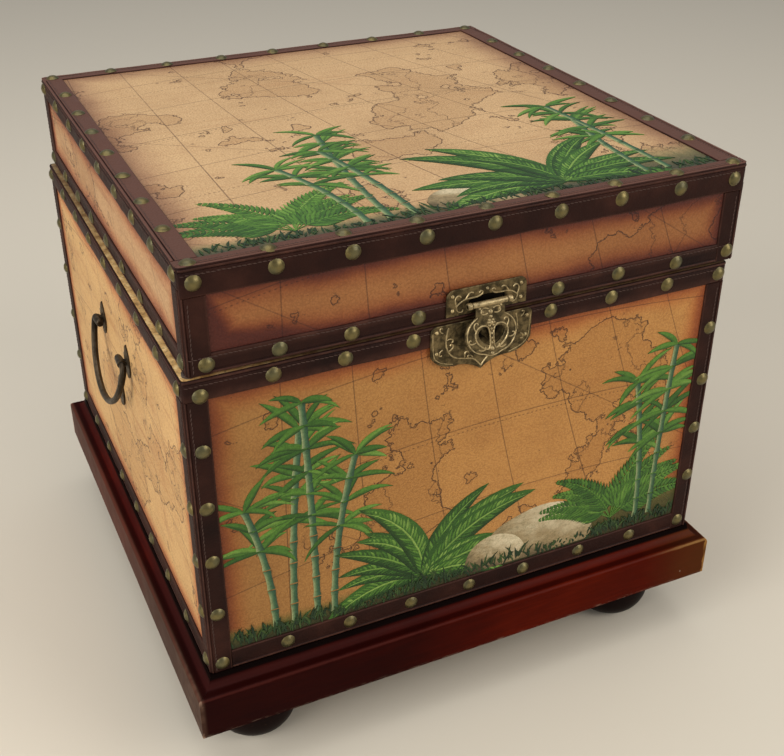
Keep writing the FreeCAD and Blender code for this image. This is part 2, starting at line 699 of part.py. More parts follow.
window = slab("latch_window", ("lid_shift - latch_window_width / 2", "lid_shift + latch_window_width / 2"),
              (f"-({STRAP_FACE} + latch_plate_thickness + {OVERRUN})", f"-({STRAP_FACE} - {OVERRUN})"),
              (LATCH_PIN_Z, f"{LATCH_PIN_Z} + latch_window_height"))


def latch_rod(name, diameter, overrun):
    length = f"2 * ({EAR_OUTER} + {overrun})"
    bar = rod(name, diameter, length, X_AXIS)
    return place(bar, f"lid_shift - ({length}) / 2", f"-{LATCH_PIN_Y}", LATCH_PIN_Z)


pierced_plate = cut("upper_plate_pierced", latch_plate, window)
eared_plate = fuse("upper_plate_eared", [pierced_plate] + ear_pieces)
add_node(cut("upper_plate_bored", eared_plate, latch_rod("ear_bore", "latch_pin_diameter", OVERRUN)),
         "latch_upper_plate")
add_node(latch_rod("latch_pin_rod", "latch_pin_diameter", "0"), "latch_pin")

hasp_half = "(hasp_width / 2)"
hasp_neck = "(hasp_neck_width / 2)"
hasp_belly = "(hasp_length * hasp_belly_share)"
hasp_tip = ("(hasp_width * hasp_tip_share)", "-(hasp_length * hasp_shoulder_share)")
hasp_outline = [
    (f"-{hasp_neck}", "0"),
    (hasp_neck, "0"),
    (hasp_neck, "-hasp_neck_length"),
    (*hasp_tip, hasp_half, f"-{hasp_belly}"),
    (f"-{hasp_tip[0]}", hasp_tip[1], "0", "-hasp_length"),
    (f"-{hasp_neck}", "-hasp_neck_length", f"-{hasp_half}", f"-{hasp_belly}"),
]
hasp_sheet = place(pad("hasp_sheet", "XZ_Plane", hasp_outline, "hasp_thickness"), y="hasp_thickness / 2")
hasp_roll = rod("hasp_roll", "latch_knuckle_diameter", "hasp_knuckle_width", X_AXIS)
place(hasp_roll, "-hasp_knuckle_width / 2")
hasp_holes = []
for end, x_side in (("left", -1), ("right", 1)):
    eye = doc.addObject("Part::Ellipse", f"hasp_eye_{end}")
    eye.setExpression("MajorRadius", bind("hasp_eye_height / 2"))
    eye.setExpression("MinorRadius", bind("hasp_eye_width / 2"))
    eye.Placement = FreeCAD.Placement(Vec(), FreeCAD.Rotation(Z_AXIS, X_AXIS, Y_AXIS, "ZXY"))
    place(eye, f"{x_side} * hasp_eye_spacing / 2", f"hasp_thickness / 2 + {OVERRUN}", "-hasp_eye_drop")
    hole = doc.addObject("Part::Extrusion", f"hasp_eye_hole_{end}")
    hole.Base = eye
    hole.DirMode = "Custom"
    hole.Dir = Y_AXIS * -1
    hole.Solid = True
    hole.setExpression("LengthFwd", bind(f"hasp_thickness + 2 * {OVERRUN}"))
    hasp_holes.append(hole)
hasp_bore = rod("hasp_bore", "latch_pin_diameter + 2 * running_clearance",
                f"hasp_knuckle_width + 2 * {OVERRUN}", X_AXIS)
hasp_holes.append(place(hasp_bore, f"-(hasp_knuckle_width / 2 + {OVERRUN})"))
hasp = cut("hasp_bored", fuse("hasp_blank", [hasp_sheet, hasp_roll]), fuse("hasp_openings", hasp_holes))
hasp.Placement = FreeCAD.Placement(Vec(), FreeCAD.Rotation(X_AXIS * -1, mm("hasp_rest_angle")))
add_node(place(hasp, "lid_shift", f"-{LATCH_PIN_Y}", LATCH_PIN_Z), "latch_hasp")

shield_half = "(shield_width / 2)"
shield_brow = f"({shield_half} - shield_corner_radius)"
shield_waist = ("(shield_width * shield_waist_share)", "-(shield_height * shield_waist_drop_share)")
shield_edge = (shield_half, "-shield_side_height")
shield_tip = ("0", "-shield_height")
brow = ((shield_brow, "0"), (shield_half, "-shield_corner_radius"), (shield_half, "0"))
outer_corner = (shield_half, shield_waist[1])
inner_corner = ("0", shield_waist[1])
shield_outline = [
    bow(mirrored(brow[1]), mirrored(brow[0]), mirrored(brow[2]), ROUND_SHARE),
    brow[0],
    bow(*brow, ROUND_SHARE),
    shield_edge,
    bow(shield_edge, shield_waist, outer_corner, "cove_depth_share"),
    bow(shield_waist, shield_tip, inner_corner, "cove_depth_share"),
    bow(shield_tip, mirrored(shield_waist), inner_corner, "cove_depth_share"),
    bow(mirrored(shield_waist), mirrored(shield_edge), mirrored(outer_corner), "cove_depth_share"),
    mirrored(brow[1]),
]
shield_sheet = place(pad("shield_sheet", "XZ_Plane", shield_outline, "latch_plate_thickness"),
                     "shield_shift", f"-{STRAP_FACE}", BODY_TOP)
dish = doc.addObject("Part::Ellipsoid", "shield_dish")
dish.setExpression("Radius1", bind("shield_dish_height / 2"))
dish.setExpression("Radius2", bind("shield_dish_width / 2"))
dish.setExpression("Radius3", bind("shield_dish_depth"))
CATCH_Z = f"({LATCH_PIN_Z} - hasp_eye_drop)"
place(dish, "shield_shift", f"-({STRAP_FACE} + latch_plate_thickness)", CATCH_Z)
shield_plate = add_node(cut("shield_dished", shield_sheet, dish), "latch_shield_plate")

CATCH_FOOT = f"({STRAP_FACE} + latch_plate_thickness - shield_dish_depth)"
HASP_BACK = ("(latch_pin_standoff + (hasp_eye_drop - catch_diameter / 2) * tan(hasp_rest_angle)"
             " - hasp_thickness / 2 / cos(hasp_rest_angle))")
button = doc.addObject("Part::Cone", "catch_button")
button.setExpression("Radius1", bind("catch_diameter / 2"))
button.setExpression("Radius2", bind("catch_diameter / 2 * catch_taper_share"))
button.setExpression("Height", bind(f"{STRAP_FACE} + {HASP_BACK} - catch_clearance - {CATCH_FOOT}"))
button.Placement = facing_front(0, 0, 0)
place(button, "lid_shift", f"-{CATCH_FOOT}", CATCH_Z)
add_node(cut("catch_seated", button, shield_plate), "latch_catch")

plate_pin = domed_nail("plate_pin", "plate_pin_head_diameter", "plate_pin_head_height",
                       "plate_pin_shank_diameter", "plate_pin_length")
PLATE_FACE = f"({STRAP_FACE} + latch_plate_thickness)"


def plate_pins(name, centre, half_width, levels):
    """Small pins near the two sides of a latch plate."""
    columns = [mm(f"{centre} + {x_side} * ({half_width} - plate_pin_inset)") for x_side in (-1, 1)]
    spots = [facing_front(x, -mm(PLATE_FACE), mm(level)) for level in levels for x in columns]
    return add_node(copies(f"{name}_set", plate_pin, spots), name)


plate_pins("latch_lid_pins", "lid_shift", half_plate,
           (f"{UPPER_PLATE_FOOT} + plate_pin_inset",
            f"{UPPER_PLATE_FOOT} + upper_plate_height - plate_pin_inset"))
plate_pins("latch_body_pins", "shield_shift", shield_half,
           (f"{BODY_TOP} - plate_pin_inset", f"{BODY_TOP} - shield_side_height + plate_pin_inset / 2"))


# Handles: on each end two leaf plates with lugs hold a wire bail, which hangs over a leaf striker.
HANDLE_Z = f"({BODY_BOTTOM} + handle_height)"
POST_X = "(handle_post_spacing / 2)"
LUG_MOUTH = f"({POST_X} + lug_overhang)"
LUG_NOSE = f"({LUG_MOUTH} - lug_length)"
BEND_X = f"({LUG_MOUTH} + bail_shoulder_clearance)"
BEND_REACH = f"sqrt({BEND_X} ^ 2 + bail_bend_radius ^ 2)"
BAIL_RADIUS = f"({BEND_REACH} + bail_bend_radius)"
BEND_RISE = f"sqrt((1 - bail_bend_radius / {BEND_REACH}) / 2)"


def leaf(name, height, width, thickness):
    """A pointed oval plate between two arcs."""
    outline = [("0", f"{height} / 2", f"-{width} / 2", "0"), ("0", f"-{height} / 2", f"{width} / 2", "0")]
    return pad(name, "XZ_Plane", outline, thickness)


def handle_lug(name, x_side):
    """A leaf plate with a bored lug in front, its nose towards the other lug, and a screw behind."""
    blank = [
        leaf(f"{name}_leaf", "leaf_height", "leaf_width", "leaf_thickness"),
        rod(f"{name}_stem", "lug_stem_diameter", "pivot_standoff", Y_AXIS * -1),
        rod(f"{name}_screw", "leaf_screw_diameter", "leaf_screw_length", Y_AXIS),
    ]
    for piece in blank:
        place(piece, f"{x_side} * {POST_X}", f"-{COVER_FACE}", HANDLE_Z)
    lug = doc.addObject("Part::Cone", f"{name}_lug")
    lug.setExpression("Radius1", bind("lug_diameter / 2"))
    lug.setExpression("Radius2", bind("lug_nose_diameter / 2"))
    lug.setExpression("Height", bind("lug_length"))
    lug.Placement = FreeCAD.Placement(Vec(), FreeCAD.Rotation(Z_AXIS, X_AXIS * -x_side))
    pivot = (f"-({COVER_FACE} + pivot_standoff)", HANDLE_Z)
    place(lug, f"{x_side} * {LUG_MOUTH}", *pivot)
    bore = rod(f"{name}_bore", "bail_wire_diameter + 2 * running_clearance",
               f"lug_length + 2 * {OVERRUN}", X_AXIS * -x_side)
    place(bore, f"{x_side} * ({LUG_MOUTH} + {OVERRUN})", *pivot)
    return cut(name, fuse(f"{name}_blank", [*blank, lug]), bore)


def handle_striker(name):
    """A leaf crowned like half an egg, with a pin into the board."""
    level = f"({HANDLE_Z} - striker_drop)"
    block = leaf(f"{name}_block", "striker_height", "striker_width", "striker_thickness")
    place(block, "0", f"-{COVER_FACE}", level)
    crown = doc.addObject("Part::Ellipsoid", f"{name}_crown")
    crown.setExpression("Radius1", bind("striker_height / sqrt(2)"))
    crown.setExpression("Radius2", bind("striker_width / sqrt(2)"))
    crown.setExpression("Radius3", bind("striker_thickness"))
    place(crown, "0", f"-{COVER_FACE}", level)
    crowned = doc.addObject("Part::Common", f"{name}_crowned")
    crowned.Base = block
    crowned.Tool = crown
    pin = rod(f"{name}_pin", "plate_pin_shank_diameter", "plate_pin_length", Y_AXIS)
    return fuse(name, [crowned, place(pin, "0", f"-{COVER_FACE}", level)])


def bail_bend(x_side):
    """Three points of the bend beyond a lug: where it starts, its middle, and where it meets the bow."""
    middle = (f"({BEND_X} * (1 + bail_bend_radius / ({BEND_REACH} * 2 * {BEND_RISE})))",
              f"(bail_bend_radius * ({BEND_RISE} - 1))")
    foot = tuple(f"({part} * {BAIL_RADIUS} / {BEND_REACH})" for part in (BEND_X, "-bail_bend_radius"))
    return [(f"{x_side} * {x}", z) for x, z in ((BEND_X, "0"), middle, foot)]


end_x = f"({LUG_NOSE} - bail_end_reach)"
left_bend, right_bend = bail_bend(-1), bail_bend(1)
bail_line = doc.addObject("Sketcher::SketchObject", "bail_line")
bail_line.Placement = facing_front(0, 0, 0)
draw(bail_line, [
    (f"-{end_x}", "0"),
    left_bend[0],
    (*left_bend[2], *left_bend[1]),
    (*right_bend[2], "0", f"-{BAIL_RADIUS}"),
    (*right_bend[0], *right_bend[1]),
    (end_x, "0"),
], closed=False)
bail_section = doc.addObject("Part::Circle", "bail_section")
bail_section.setExpression("Radius", bind("bail_wire_diameter / 2"))
bail_section.Placement = FreeCAD.Placement(Vec(), FreeCAD.Rotation(Z_AXIS, X_AXIS))
place(bail_section, f"-{end_x}")
doc.recompute()
bail_edges = [f"Edge{number}" for number in range(1, len(bail_line.Shape.Edges) + 1)]
for side in ("left", "right"):
    fittings = [handle_striker(f"{side}_striker")]
    for end, x_side in (("first", -1), ("second", 1)):
        fittings.append(handle_lug(f"{side}_lug_{end}", x_side))
    plates = group(f"{side}_handle_set", fittings, SIDES[side])
    add_node(plates, f"{side}_handle_plates")
    bail = doc.addObject("Part::Sweep", f"{side}_bail_wire")
    bail.Sections = [bail_section]
    bail.Spine = (bail_line, bail_edges)
    bail.Solid = True
    hang = FreeCAD.Rotation(X_AXIS * -1, mm("bail_rest_angle"))
    pivot = FreeCAD.Placement(Vec(0, -mm(f"{COVER_FACE} + pivot_standoff"), mm(HANDLE_Z)), hang)
    bail.Placement = turned(SIDES[side]).multiply(pivot)
    add_node(bail, f"{side}_handle_bail")


# Check every object and write each sub-part to its own file.
doc.recompute()
for item in doc.Objects:
    if {"Invalid", "Error"} & set(item.State):
        raise RuntimeError(f"{item.Label} failed: {item.State}")
os.makedirs("parts", exist_ok=True)
for node in nodes:
    shape = node.Shape
    if shape.isNull() or not shape.isValid() or not shape.Solids:
        raise RuntimeError(f"{node.Label} has no valid solid")
for node in nodes:
    solids = node.Shape.Solids
    shape = solids[0] if len(solids) == 1 else Part.makeCompound(solids)
    shape.exportStep(f"parts/{node.Label}.step")
    print(node.Label, len(solids), round(shape.Volume, 1))
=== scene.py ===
import json
import math
import random

import bmesh
import bpy
from mathutils import Matrix, Vector
from mathutils.noise import noise as ripple


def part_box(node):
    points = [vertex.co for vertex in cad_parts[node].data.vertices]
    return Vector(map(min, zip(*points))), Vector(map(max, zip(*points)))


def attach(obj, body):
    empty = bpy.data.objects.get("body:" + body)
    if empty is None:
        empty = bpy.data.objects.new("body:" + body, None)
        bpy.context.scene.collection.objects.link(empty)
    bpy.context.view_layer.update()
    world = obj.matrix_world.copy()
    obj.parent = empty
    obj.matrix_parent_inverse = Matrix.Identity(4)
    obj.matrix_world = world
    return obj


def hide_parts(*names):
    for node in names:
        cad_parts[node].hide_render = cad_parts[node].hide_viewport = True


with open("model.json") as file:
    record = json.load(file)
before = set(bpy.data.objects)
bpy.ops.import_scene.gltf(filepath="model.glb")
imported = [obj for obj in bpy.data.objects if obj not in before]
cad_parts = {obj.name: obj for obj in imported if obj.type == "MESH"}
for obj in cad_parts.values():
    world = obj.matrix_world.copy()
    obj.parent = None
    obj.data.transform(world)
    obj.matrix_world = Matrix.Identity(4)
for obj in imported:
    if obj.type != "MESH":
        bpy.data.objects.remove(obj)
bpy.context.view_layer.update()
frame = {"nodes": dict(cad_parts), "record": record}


# Plinth rails.
# Four lengths of moulded wood, mitred at the corners and lacquered a deep red brown.
# The lacquer is rubbed through along the lower edges and chipped at the corners.
class Socket:
    """One output of a material's nodes; arithmetic on it adds Math nodes."""

    def __init__(self, tree, output):
        self.tree = tree
        self.output = output

    def feed(self, socket, value):
        if isinstance(value, Socket):
            self.tree.links.new(value.output, socket)
        else:
            socket.default_value = value

    def node(self, kind, settings=(), inputs=(), output=0):
        """Any other node: its settings first, then the values or links of its sockets."""
        made = self.tree.nodes.new(kind)
        for name, value in dict(settings).items():
            if name == "stops":
                while len(made.color_ramp.elements) < len(value):
                    made.color_ramp.elements.new(1)
                for stop, (place, colour) in zip(made.color_ramp.elements, value):
                    stop.position = place
                    stop.color = (*colour, 1)
            else:
                setattr(made, name, value)
        for key, value in dict(inputs).items():
            self.feed(made.inputs[key], value)
        return Socket(self.tree, made.outputs[output])

    def math(self, operation, *values):
        return self.node("ShaderNodeMath", {"operation": operation}, enumerate(values))

    def __add__(self, other):
        return self.math("ADD", self, other)

    def __sub__(self, other):
        return self.math("SUBTRACT", self, other)

    def __rsub__(self, other):
        return self.math("SUBTRACT", other, self)

    def __mul__(self, other):
        return self.math("MULTIPLY", self, other)

    def __truediv__(self, other):
        return self.math("DIVIDE", self, other)

    def __mod__(self, other):
        return self.math("FLOORED_MODULO", self, other)

    def __abs__(self):
        return self.math("ABSOLUTE", self)

    __radd__ = __add__
    __rmul__ = __mul__


def new_finish(name):
    """A material, and its Object coordinates as a socket."""
    finish = bpy.data.materials.new(name)
    finish.use_nodes = True
    coordinates = finish.node_tree.nodes.new("ShaderNodeTexCoord")
    return finish, Socket(finish.node_tree, coordinates.outputs["Object"])


def set_finish(finish, place, **values):
    """Feed the material's shader; a name such as base_color means the socket Base Color."""
    shader = finish.node_tree.nodes["Principled BSDF"]
    for name, value in values.items():
        title = name.replace("_", " ").title().replace("Ior", "IOR")
        place.feed(shader.inputs[title], value)
    return finish


def split(place):
    return [place.node("ShaderNodeSeparateXYZ", (), {0: place}, axis) for axis in range(3)]


def join(x, y, z):
    return x.node("ShaderNodeCombineXYZ", (), {0: x, 1: y, 2: z})


def noise(place, scale, detail=4.0, roughness=0.55, distortion=0.0):
    return place.node("ShaderNodeTexNoise", (), {"Vector": place, "Scale": scale, "Detail": detail,
                                                 "Roughness": roughness, "Distortion": distortion})


def cells(place, scale):
    """How far a place lies from the middle of its cell."""
    return place.node("ShaderNodeTexVoronoi", (), {"Vector": place, "Scale": scale})


def stretch(place, x, y, z):
    return place.node("ShaderNodeVectorMath", {"operation": "MULTIPLY"}, {0: place, 1: (x, y, z)})


def fade(value, low, high):
    """0 at low and 1 at high, smooth between; low may be the larger."""
    return value.node("ShaderNodeMapRange", {"interpolation_type": "SMOOTHSTEP"},
                      {"Value": value, "From Min": low, "From Max": high})


def ramp(value, *stops):
    return value.node("ShaderNodeValToRGB", {"stops": stops}, {0: value})


def mix(share, first, second, blend="MIX"):
    """Two colours blended by a share."""
    colours = [value if isinstance(value, Socket) else (*value, 1) for value in (first, second)]
    return share.node("ShaderNodeMix", {"data_type": "RGBA", "blend_type": blend},
                      {0: share, 6: colours[0], 7: colours[1]}, 2)


def bump(height, depth):
    return height.node("ShaderNodeBump", (), {"Height": height, "Distance": depth})


MERGE_DISTANCE = 1e-6
QUARTER_BOW = 1 - math.sqrt(0.5)


def only(kind, parts):
    """Those parts of a bmesh that are of one kind."""
    return [part for part in parts if isinstance(part, kind)]


def move(shape, matrix):
    bmesh.ops.transform(shape, matrix=matrix, verts=shape.verts[:])


def cut(shape, spot, outward, clear=True):
    """Cut a shape along a plane, and clear what lies outward of it."""
    bmesh.ops.bisect_plane(shape, geom=[*shape.verts, *shape.edges, *shape.faces], plane_co=spot,
                           plane_no=outward, clear_outer=clear)


def bevel(shape, edges, offset, segments):
    bmesh.ops.bevel(shape, geom=edges, offset=offset, segments=segments, profile=0.5, affect="EDGES",
                    material=-1)


def new_shape():
    """An empty bmesh whose vertices can say how worn the surface is and where highlight and shade are
    painted.
    """
    shape = bmesh.new()
    shape.verts.layers.float.new("wear")
    return shape


def set_wear_and_light(shape, amount):
    layer = shape.verts.layers.float["wear"]
    for vert in shape.verts:
        vert[layer] = amount(vert.co)
    return shape


class Pen:
    """Draws an outline edge by edge in a bmesh, on a plane across the given axis."""

    def __init__(self, shape, axis, start):
        self.shape = shape
        self.axis = Vector(axis)
        self.first = self.tip = shape.verts.new(start)

    def line(self, *corners):
        for corner in corners:
            self.tip = bmesh.ops.extrude_vert_indiv(self.shape, verts=[self.tip])["verts"][0]
            self.tip.co = corner
        return self

    def bow(self, end, depth, steps=6):
        """An arc to an end, whose middle lies a depth to the left of the straight line."""
        chord = Vector(end) - self.tip.co
        left = self.axis.cross(chord).normalized()
        half = chord.length / 2
        radius = (half ** 2 + depth ** 2) / (2 * depth)
        centre = self.tip.co + chord / 2 + left * (depth - radius)
        spun = bmesh.ops.spin(self.shape, geom=[self.tip], cent=centre, axis=self.axis,
                              angle=-4 * math.atan2(depth, half), steps=steps)
        self.tip = only(bmesh.types.BMVert, spun["geom_last"])[0]
        return self

    def close(self):
        if (self.tip.co - self.first.co).length > MERGE_DISTANCE:
            self.shape.edges.new((self.tip, self.first))
        bmesh.ops.remove_doubles(self.shape, verts=self.shape.verts[:], dist=MERGE_DISTANCE)
        return self


def fill(shape):
    """One face in a single outline."""
    return bmesh.ops.contextual_create(shape, geom=shape.edges[:])["faces"]


def extrude(shape, faces, offset):
    """Draw faces out by an offset and give back the moved ones."""
    drawn = bmesh.ops.extrude_face_region(shape, geom=faces)["geom"]
    bmesh.ops.translate(shape, vec=offset, verts=only(bmesh.types.BMVert, drawn))
    return only(bmesh.types.BMFace, drawn)


def add_piece(name, shape, finish, body, replaced=(), crease=35):
    """Make an object of a bmesh; it rides on a body and stands for the nodes that it replaces."""
    bmesh.ops.recalc_face_normals(shape, faces=shape.faces[:])
    data = bpy.data.meshes.new(name)
    shape.to_mesh(data)
    shape.free()
    data.materials.append(finish)
    data.shade_smooth()
    data.set_sharp_from_angle(angle=math.radians(crease))
    piece = bpy.data.objects.new(name, data)
    bpy.context.scene.collection.objects.link(piece)
    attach(piece, body)
    if replaced:
        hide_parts(*replaced)
    return piece


SIDES = {"front": 0, "right": 90, "back": 180, "left": 270}


def rotation(degrees, axis):
    return Matrix.Rotation(math.radians(degrees), 4, axis)


def turned(side, shift=0):
    """From the front to another side, then along X by a shift."""
    return Matrix.Translation((shift, 0, 0)) @ rotation(SIDES[side], "Z")


plinth_low, plinth_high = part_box("plinth_rail_front")
PLINTH_FACE = 0.033
PLINTH_ARRIS = 0.0008
PLINTH_SHOULDER = 0.003
PLINTH_LEDGE = 0.0055
PLINTH_LIP = 0.0117
COVE_DEPTH = 0.0019
MITRE_ARRIS = 0.0003
SHOULDER_LINE = 0.0009
HOLLOW_INSET = 0.0046
BEAD_INSET = 0.0088
STRAP_SHADOW_INSET = (0.0106, 0.0113)
LACQUER_TINTS = ((0.3, (0.014, 0.0008, 0.0003)), (0.52, (0.043, 0.002, 0.0004)),
                 (0.72, (0.105, 0.007, 0.001)))


def lacquered_wood():
    finish, place = new_finish("plinth_lacquer")
    x, y, z = split(place)
    half = -plinth_low.y
    inset = half - x.math("MAXIMUM", abs(x), abs(y))
    grain = noise(stretch(place, 14, 14, 160), 3.0, 6.0)
    cloud = noise(place, 9.0, 3.0)
    chips = noise(place, 160.0, 3.0) + noise(place, 45.0, 2.0) * 0.6
    colour = ramp(grain * 0.3 + cloud * 0.7, *LACQUER_TINTS)
    # painted light, redder to the right
    colour = mix(fade(half + x, 0.1, 0.3) * 0.3, colour, (0.09, 0.007, 0.001))
    # painted shade, dark round the front left corner
    corner_shade = fade(x.math("MAXIMUM", half + x, half + y), 0.27, 0.02)
    colour = mix(corner_shade * 0.88, colour, (0.009, 0.0018, 0.0018))
    # painted sheen, grey on the left face, in patches near the front
    left_face = fade(half + x, 0.0045, 0.0015)
    sheen_patches = fade(half + y, 0.085, 0.012) * left_face * fade(chips, 0.6, 1.0)
    colour = mix(left_face * (0.2 + sheen_patches * 0.25), colour, (0.15, 0.085, 0.055))
    # worn yellow at the front right corner, partly a painted highlight
    right_end = x.math("MAXIMUM", half - x, half + y) - noise(place, 28.0) * 0.03
    colour = mix(fade(right_end, 0.045, -0.012) * 0.55, colour, (0.07, 0.027, 0.006))
    # a painted highlight along the shoulder line, golden towards the right
    shoulder = abs(z - (plinth_low.z + PLINTH_FACE - SHOULDER_LINE)) + abs(inset - SHOULDER_LINE)
    golden = fade(half - x, 0.06, 0.01)
    colour = mix(fade(shoulder + chips * 0.0012, 0.0028, 0.0014) * (0.2 + golden * 0.35), colour,
                 mix(golden, (0.12, 0.028, 0.02), (0.3, 0.16, 0.05)))
    # worn through at the mitres, scratched along the lower edge and speckled
    worn = fade(x.math("MINIMUM", abs(x), abs(y)) + chips * 0.006, half + 0.0024, half + 0.0036)
    worn = worn * fade(noise(place, 34.0, 2.0), 0.4, 0.55)
    colour = mix(worn, colour, mix(fade(x, -0.1, 0.1), (0.36, 0.23, 0.16), (0.25, 0.12, 0.03)))
    scratch = fade(noise(stretch(place, 30, 30, 400), 4.0), 0.52, 0.64)
    scratch = scratch * fade(z, plinth_low.z + 0.0035, plinth_low.z)
    specks = fade(cells(place, 55.0), 0.035, 0.02) * fade(cloud, 0.5, 0.56)
    colour = mix(scratch * 0.5 + specks, colour, (0.34, 0.25, 0.18))
    # painted shade in the hollow of the moulding and a painted sheen on its bead
    colour = mix(fade(abs(inset - HOLLOW_INSET), 0.0028, 0.0014) * 0.65, colour, (0.01, 0.001, 0.0007))
    colour = mix(fade(abs(inset - BEAD_INSET), 0.0022, 0.001) * 0.2, colour, (0.06, 0.015, 0.013))
    # painted shadow, black, under the straps and further in
    colour = mix(fade(inset, *STRAP_SHADOW_INSET), colour, (0.0025, 0.0008, 0.0007))
    smudge = noise(place, 60.0, 4.0)
    return set_finish(finish, place, base_color=colour, roughness=0.34 + smudge * 0.2 + worn * 0.3,
                      specular_ior_level=0.02, coat_weight=0.012, coat_roughness=0.2,
                      normal=bump(grain * 0.3 - worn, 0.00015))


plinth_finish = lacquered_wood()


def plinth_rail(side):
    shape = new_shape()
    front, back = plinth_low.y, plinth_high.y
    bottom, top = plinth_low.z, plinth_high.z
    shoulder = bottom + PLINTH_FACE
    end = plinth_low.x
    pen = Pen(shape, (1, 0, 0), (end, back, bottom))
    pen.line((end, front + PLINTH_ARRIS, bottom), (end, front, bottom + PLINTH_ARRIS),
             (end, front, shoulder - PLINTH_SHOULDER))
    pen.bow((end, front + PLINTH_SHOULDER, shoulder), PLINTH_SHOULDER * QUARTER_BOW)
    pen.line((end, front + PLINTH_LEDGE, shoulder))
    pen.bow((end, front + PLINTH_LIP, top), -COVE_DEPTH)
    pen.line((end, back, top)).close()
    extrude(shape, fill(shape), (plinth_high.x - plinth_low.x, 0, 0))
    for hand in (-1, 1):
        cut(shape, (0, 0, 0), (hand, 1, 0))
        bmesh.ops.holes_fill(shape, edges=[edge for edge in shape.edges if edge.is_boundary])
    bmesh.ops.recalc_face_normals(shape, faces=shape.faces[:])
    mitres = [face for face in shape.faces if abs(face.normal.x) > 0.6 and abs(face.normal.y) > 0.6]
    bevel(shape, [edge for face in mitres for edge in face.edges], MITRE_ARRIS, 1)
    move(shape, turned(side))
    return add_piece(f"plinth_moulding_{side}", shape, plinth_finish, "trunk",
                     [f"plinth_rail_{side}"])


for side in SIDES:
    plinth_rail(side)


# Boards and glue blocks.
# Plain sawn softwood, glued and pinned; it shows only from underneath and where a cover ends.
def sawn_wood():
    finish, place = new_finish("sawn_wood")
    rings = noise(stretch(place, 2, 30, 30), 6.0, 5.0, distortion=0.6)
    fibre = noise(stretch(place, 12, 320, 320), 3.0, 3.0)
    colour = ramp(rings * 0.7 + fibre * 0.3,
                  (0.3, (0.3, 0.17, 0.075)), (0.5, (0.48, 0.31, 0.16)), (0.7, (0.62, 0.44, 0.26)))
    return set_finish(finish, place, base_color=colour, roughness=0.65 + fibre * 0.2,
                      normal=bump(fibre, 0.0002))


def dress(finish, *names):
    """Give CAD nodes that keep their shape a finish."""
    for name in names:
        for slot in frame["nodes"][name].material_slots:
            slot.material = finish


dress(sawn_wood(), "plinth_corner_blocks", "body_floor_board", "lid_board_top",
      *(f"{owner}_board_{side}" for owner in ("body", "lid") for side in SIDES))


# Feet.
# Turned buns lacquered nearly black, each with a tenon glued up into its corner block.
def foot_lacquer():
    finish, place = new_finish("foot_lacquer")
    cloud = noise(place, 40.0, 4.0)
    scuff = fade(noise(stretch(place, 60, 60, 200), 5.0, 5.0), 0.62, 0.72)
    lacquer = mix(cloud, (0.004, 0.0025, 0.0025), (0.013, 0.006, 0.005))
    colour = mix(scuff * 0.3, lacquer, (0.07, 0.03, 0.016))
    return set_finish(finish, place, base_color=colour, roughness=0.28 + cloud * 0.15 + scuff * 0.2,
                      specular_ior_level=0.02, coat_weight=0.03, coat_roughness=0.06,
                      normal=bump(cloud, 0.0001))


foot_finish = foot_lacquer()
FOOT_BASE = 0.019
FOOT_NECK = 0.021
FOOT_BELLY = 0.011
FOOT_SOLE = 0.001
FOOT_TENON = 0.01
NECK_LENGTH = 0.005
BELLY_STEPS = 16
TURNING_STEPS = 48


def lathe(shape, steps=TURNING_STEPS):
    """Spin a half outline in XZ about Z."""
    bmesh.ops.spin(shape, geom=shape.verts[:] + shape.edges[:], cent=(0, 0, 0), axis=(0, 0, 1),
                   angle=math.tau, steps=steps, use_merge=True)
    bmesh.ops.remove_doubles(shape, verts=shape.verts[:], dist=MERGE_DISTANCE)
    return shape


def foot(node):
    low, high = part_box(node)
    top = plinth_low.z
    shape = new_shape()
    pen = Pen(shape, (0, 1, 0), (0, 0, 0))
    pen.line((FOOT_BASE - FOOT_SOLE, 0, 0), (FOOT_BASE, 0, FOOT_SOLE))
    pen.bow((FOOT_NECK, 0, top - NECK_LENGTH), FOOT_BELLY, BELLY_STEPS)
    pen.bow((FOOT_NECK, 0, top), -NECK_LENGTH / 4)
    pen.line((FOOT_TENON, 0, top), (FOOT_TENON, 0, high.z), (0, 0, high.z))
    lathe(shape)
    move(shape, Matrix.Translation(((low.x + high.x) / 2, (low.y + high.y) / 2, 0)))
    return add_piece(node.replace("foot", "bun"), shape, foot_finish, "trunk", [node])


for corner in ("front_left", "front_right", "back_left", "back_right"):
    foot(f"foot_{corner}")


# Printed covers.
# Grained leatherette glued to every board, printed like an old sea chart of no real coast.
# The print is scorched towards the straps, and a strip of grass is painted on the front and the top.
cover_face = -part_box("body_cover_front")[0].y
strap_face = -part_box("body_straps_front")[0].y
body_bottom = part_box("body_board_front")[0].z
body_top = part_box("body_rim_cover")[1].z
lid_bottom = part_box("lid_rim_cover")[0].z
lid_cover_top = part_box("lid_cover_top")[1].z
lid_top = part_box("lid_straps_top")[1].z
lid_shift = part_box("lid_board_top")[0].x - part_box("body_board_front")[0].x
CORNER_STRAP = 0.015
BODY_TOP_STRAP = 0.0141
BODY_BOTTOM_STRAP = 0.0145
LID_TOP_STRAPS = {"front": 0.0176, "right": 0.0128, "back": 0.0176, "left": 0.0128}
LID_BOTTOM_STRAP = 0.0125
TOP_END_STRAP = 0.015
TOP_FRONT_STRAP = 0.01
INK = (0.042, 0.015, 0.007)
GLOW = (0.78, 0.4, 0.27)
MAUVE_GLOW = (0.66, 0.56, 0.58)
CHAR = (0.06, 0.009, 0.006)
BLACK_CHAR = (0.022, 0.004, 0.005)
COAST = 0.54
ISLES = 0.66
CONTOUR_STEP = 0.0003
MERIDIANS = 0.052
PARALLELS = 0.061
RHUMBS = 0.15
DOT_PITCH = 0.0032
LINE_WIDTH = 0.0004
GRAIN_SCALE = 680.0


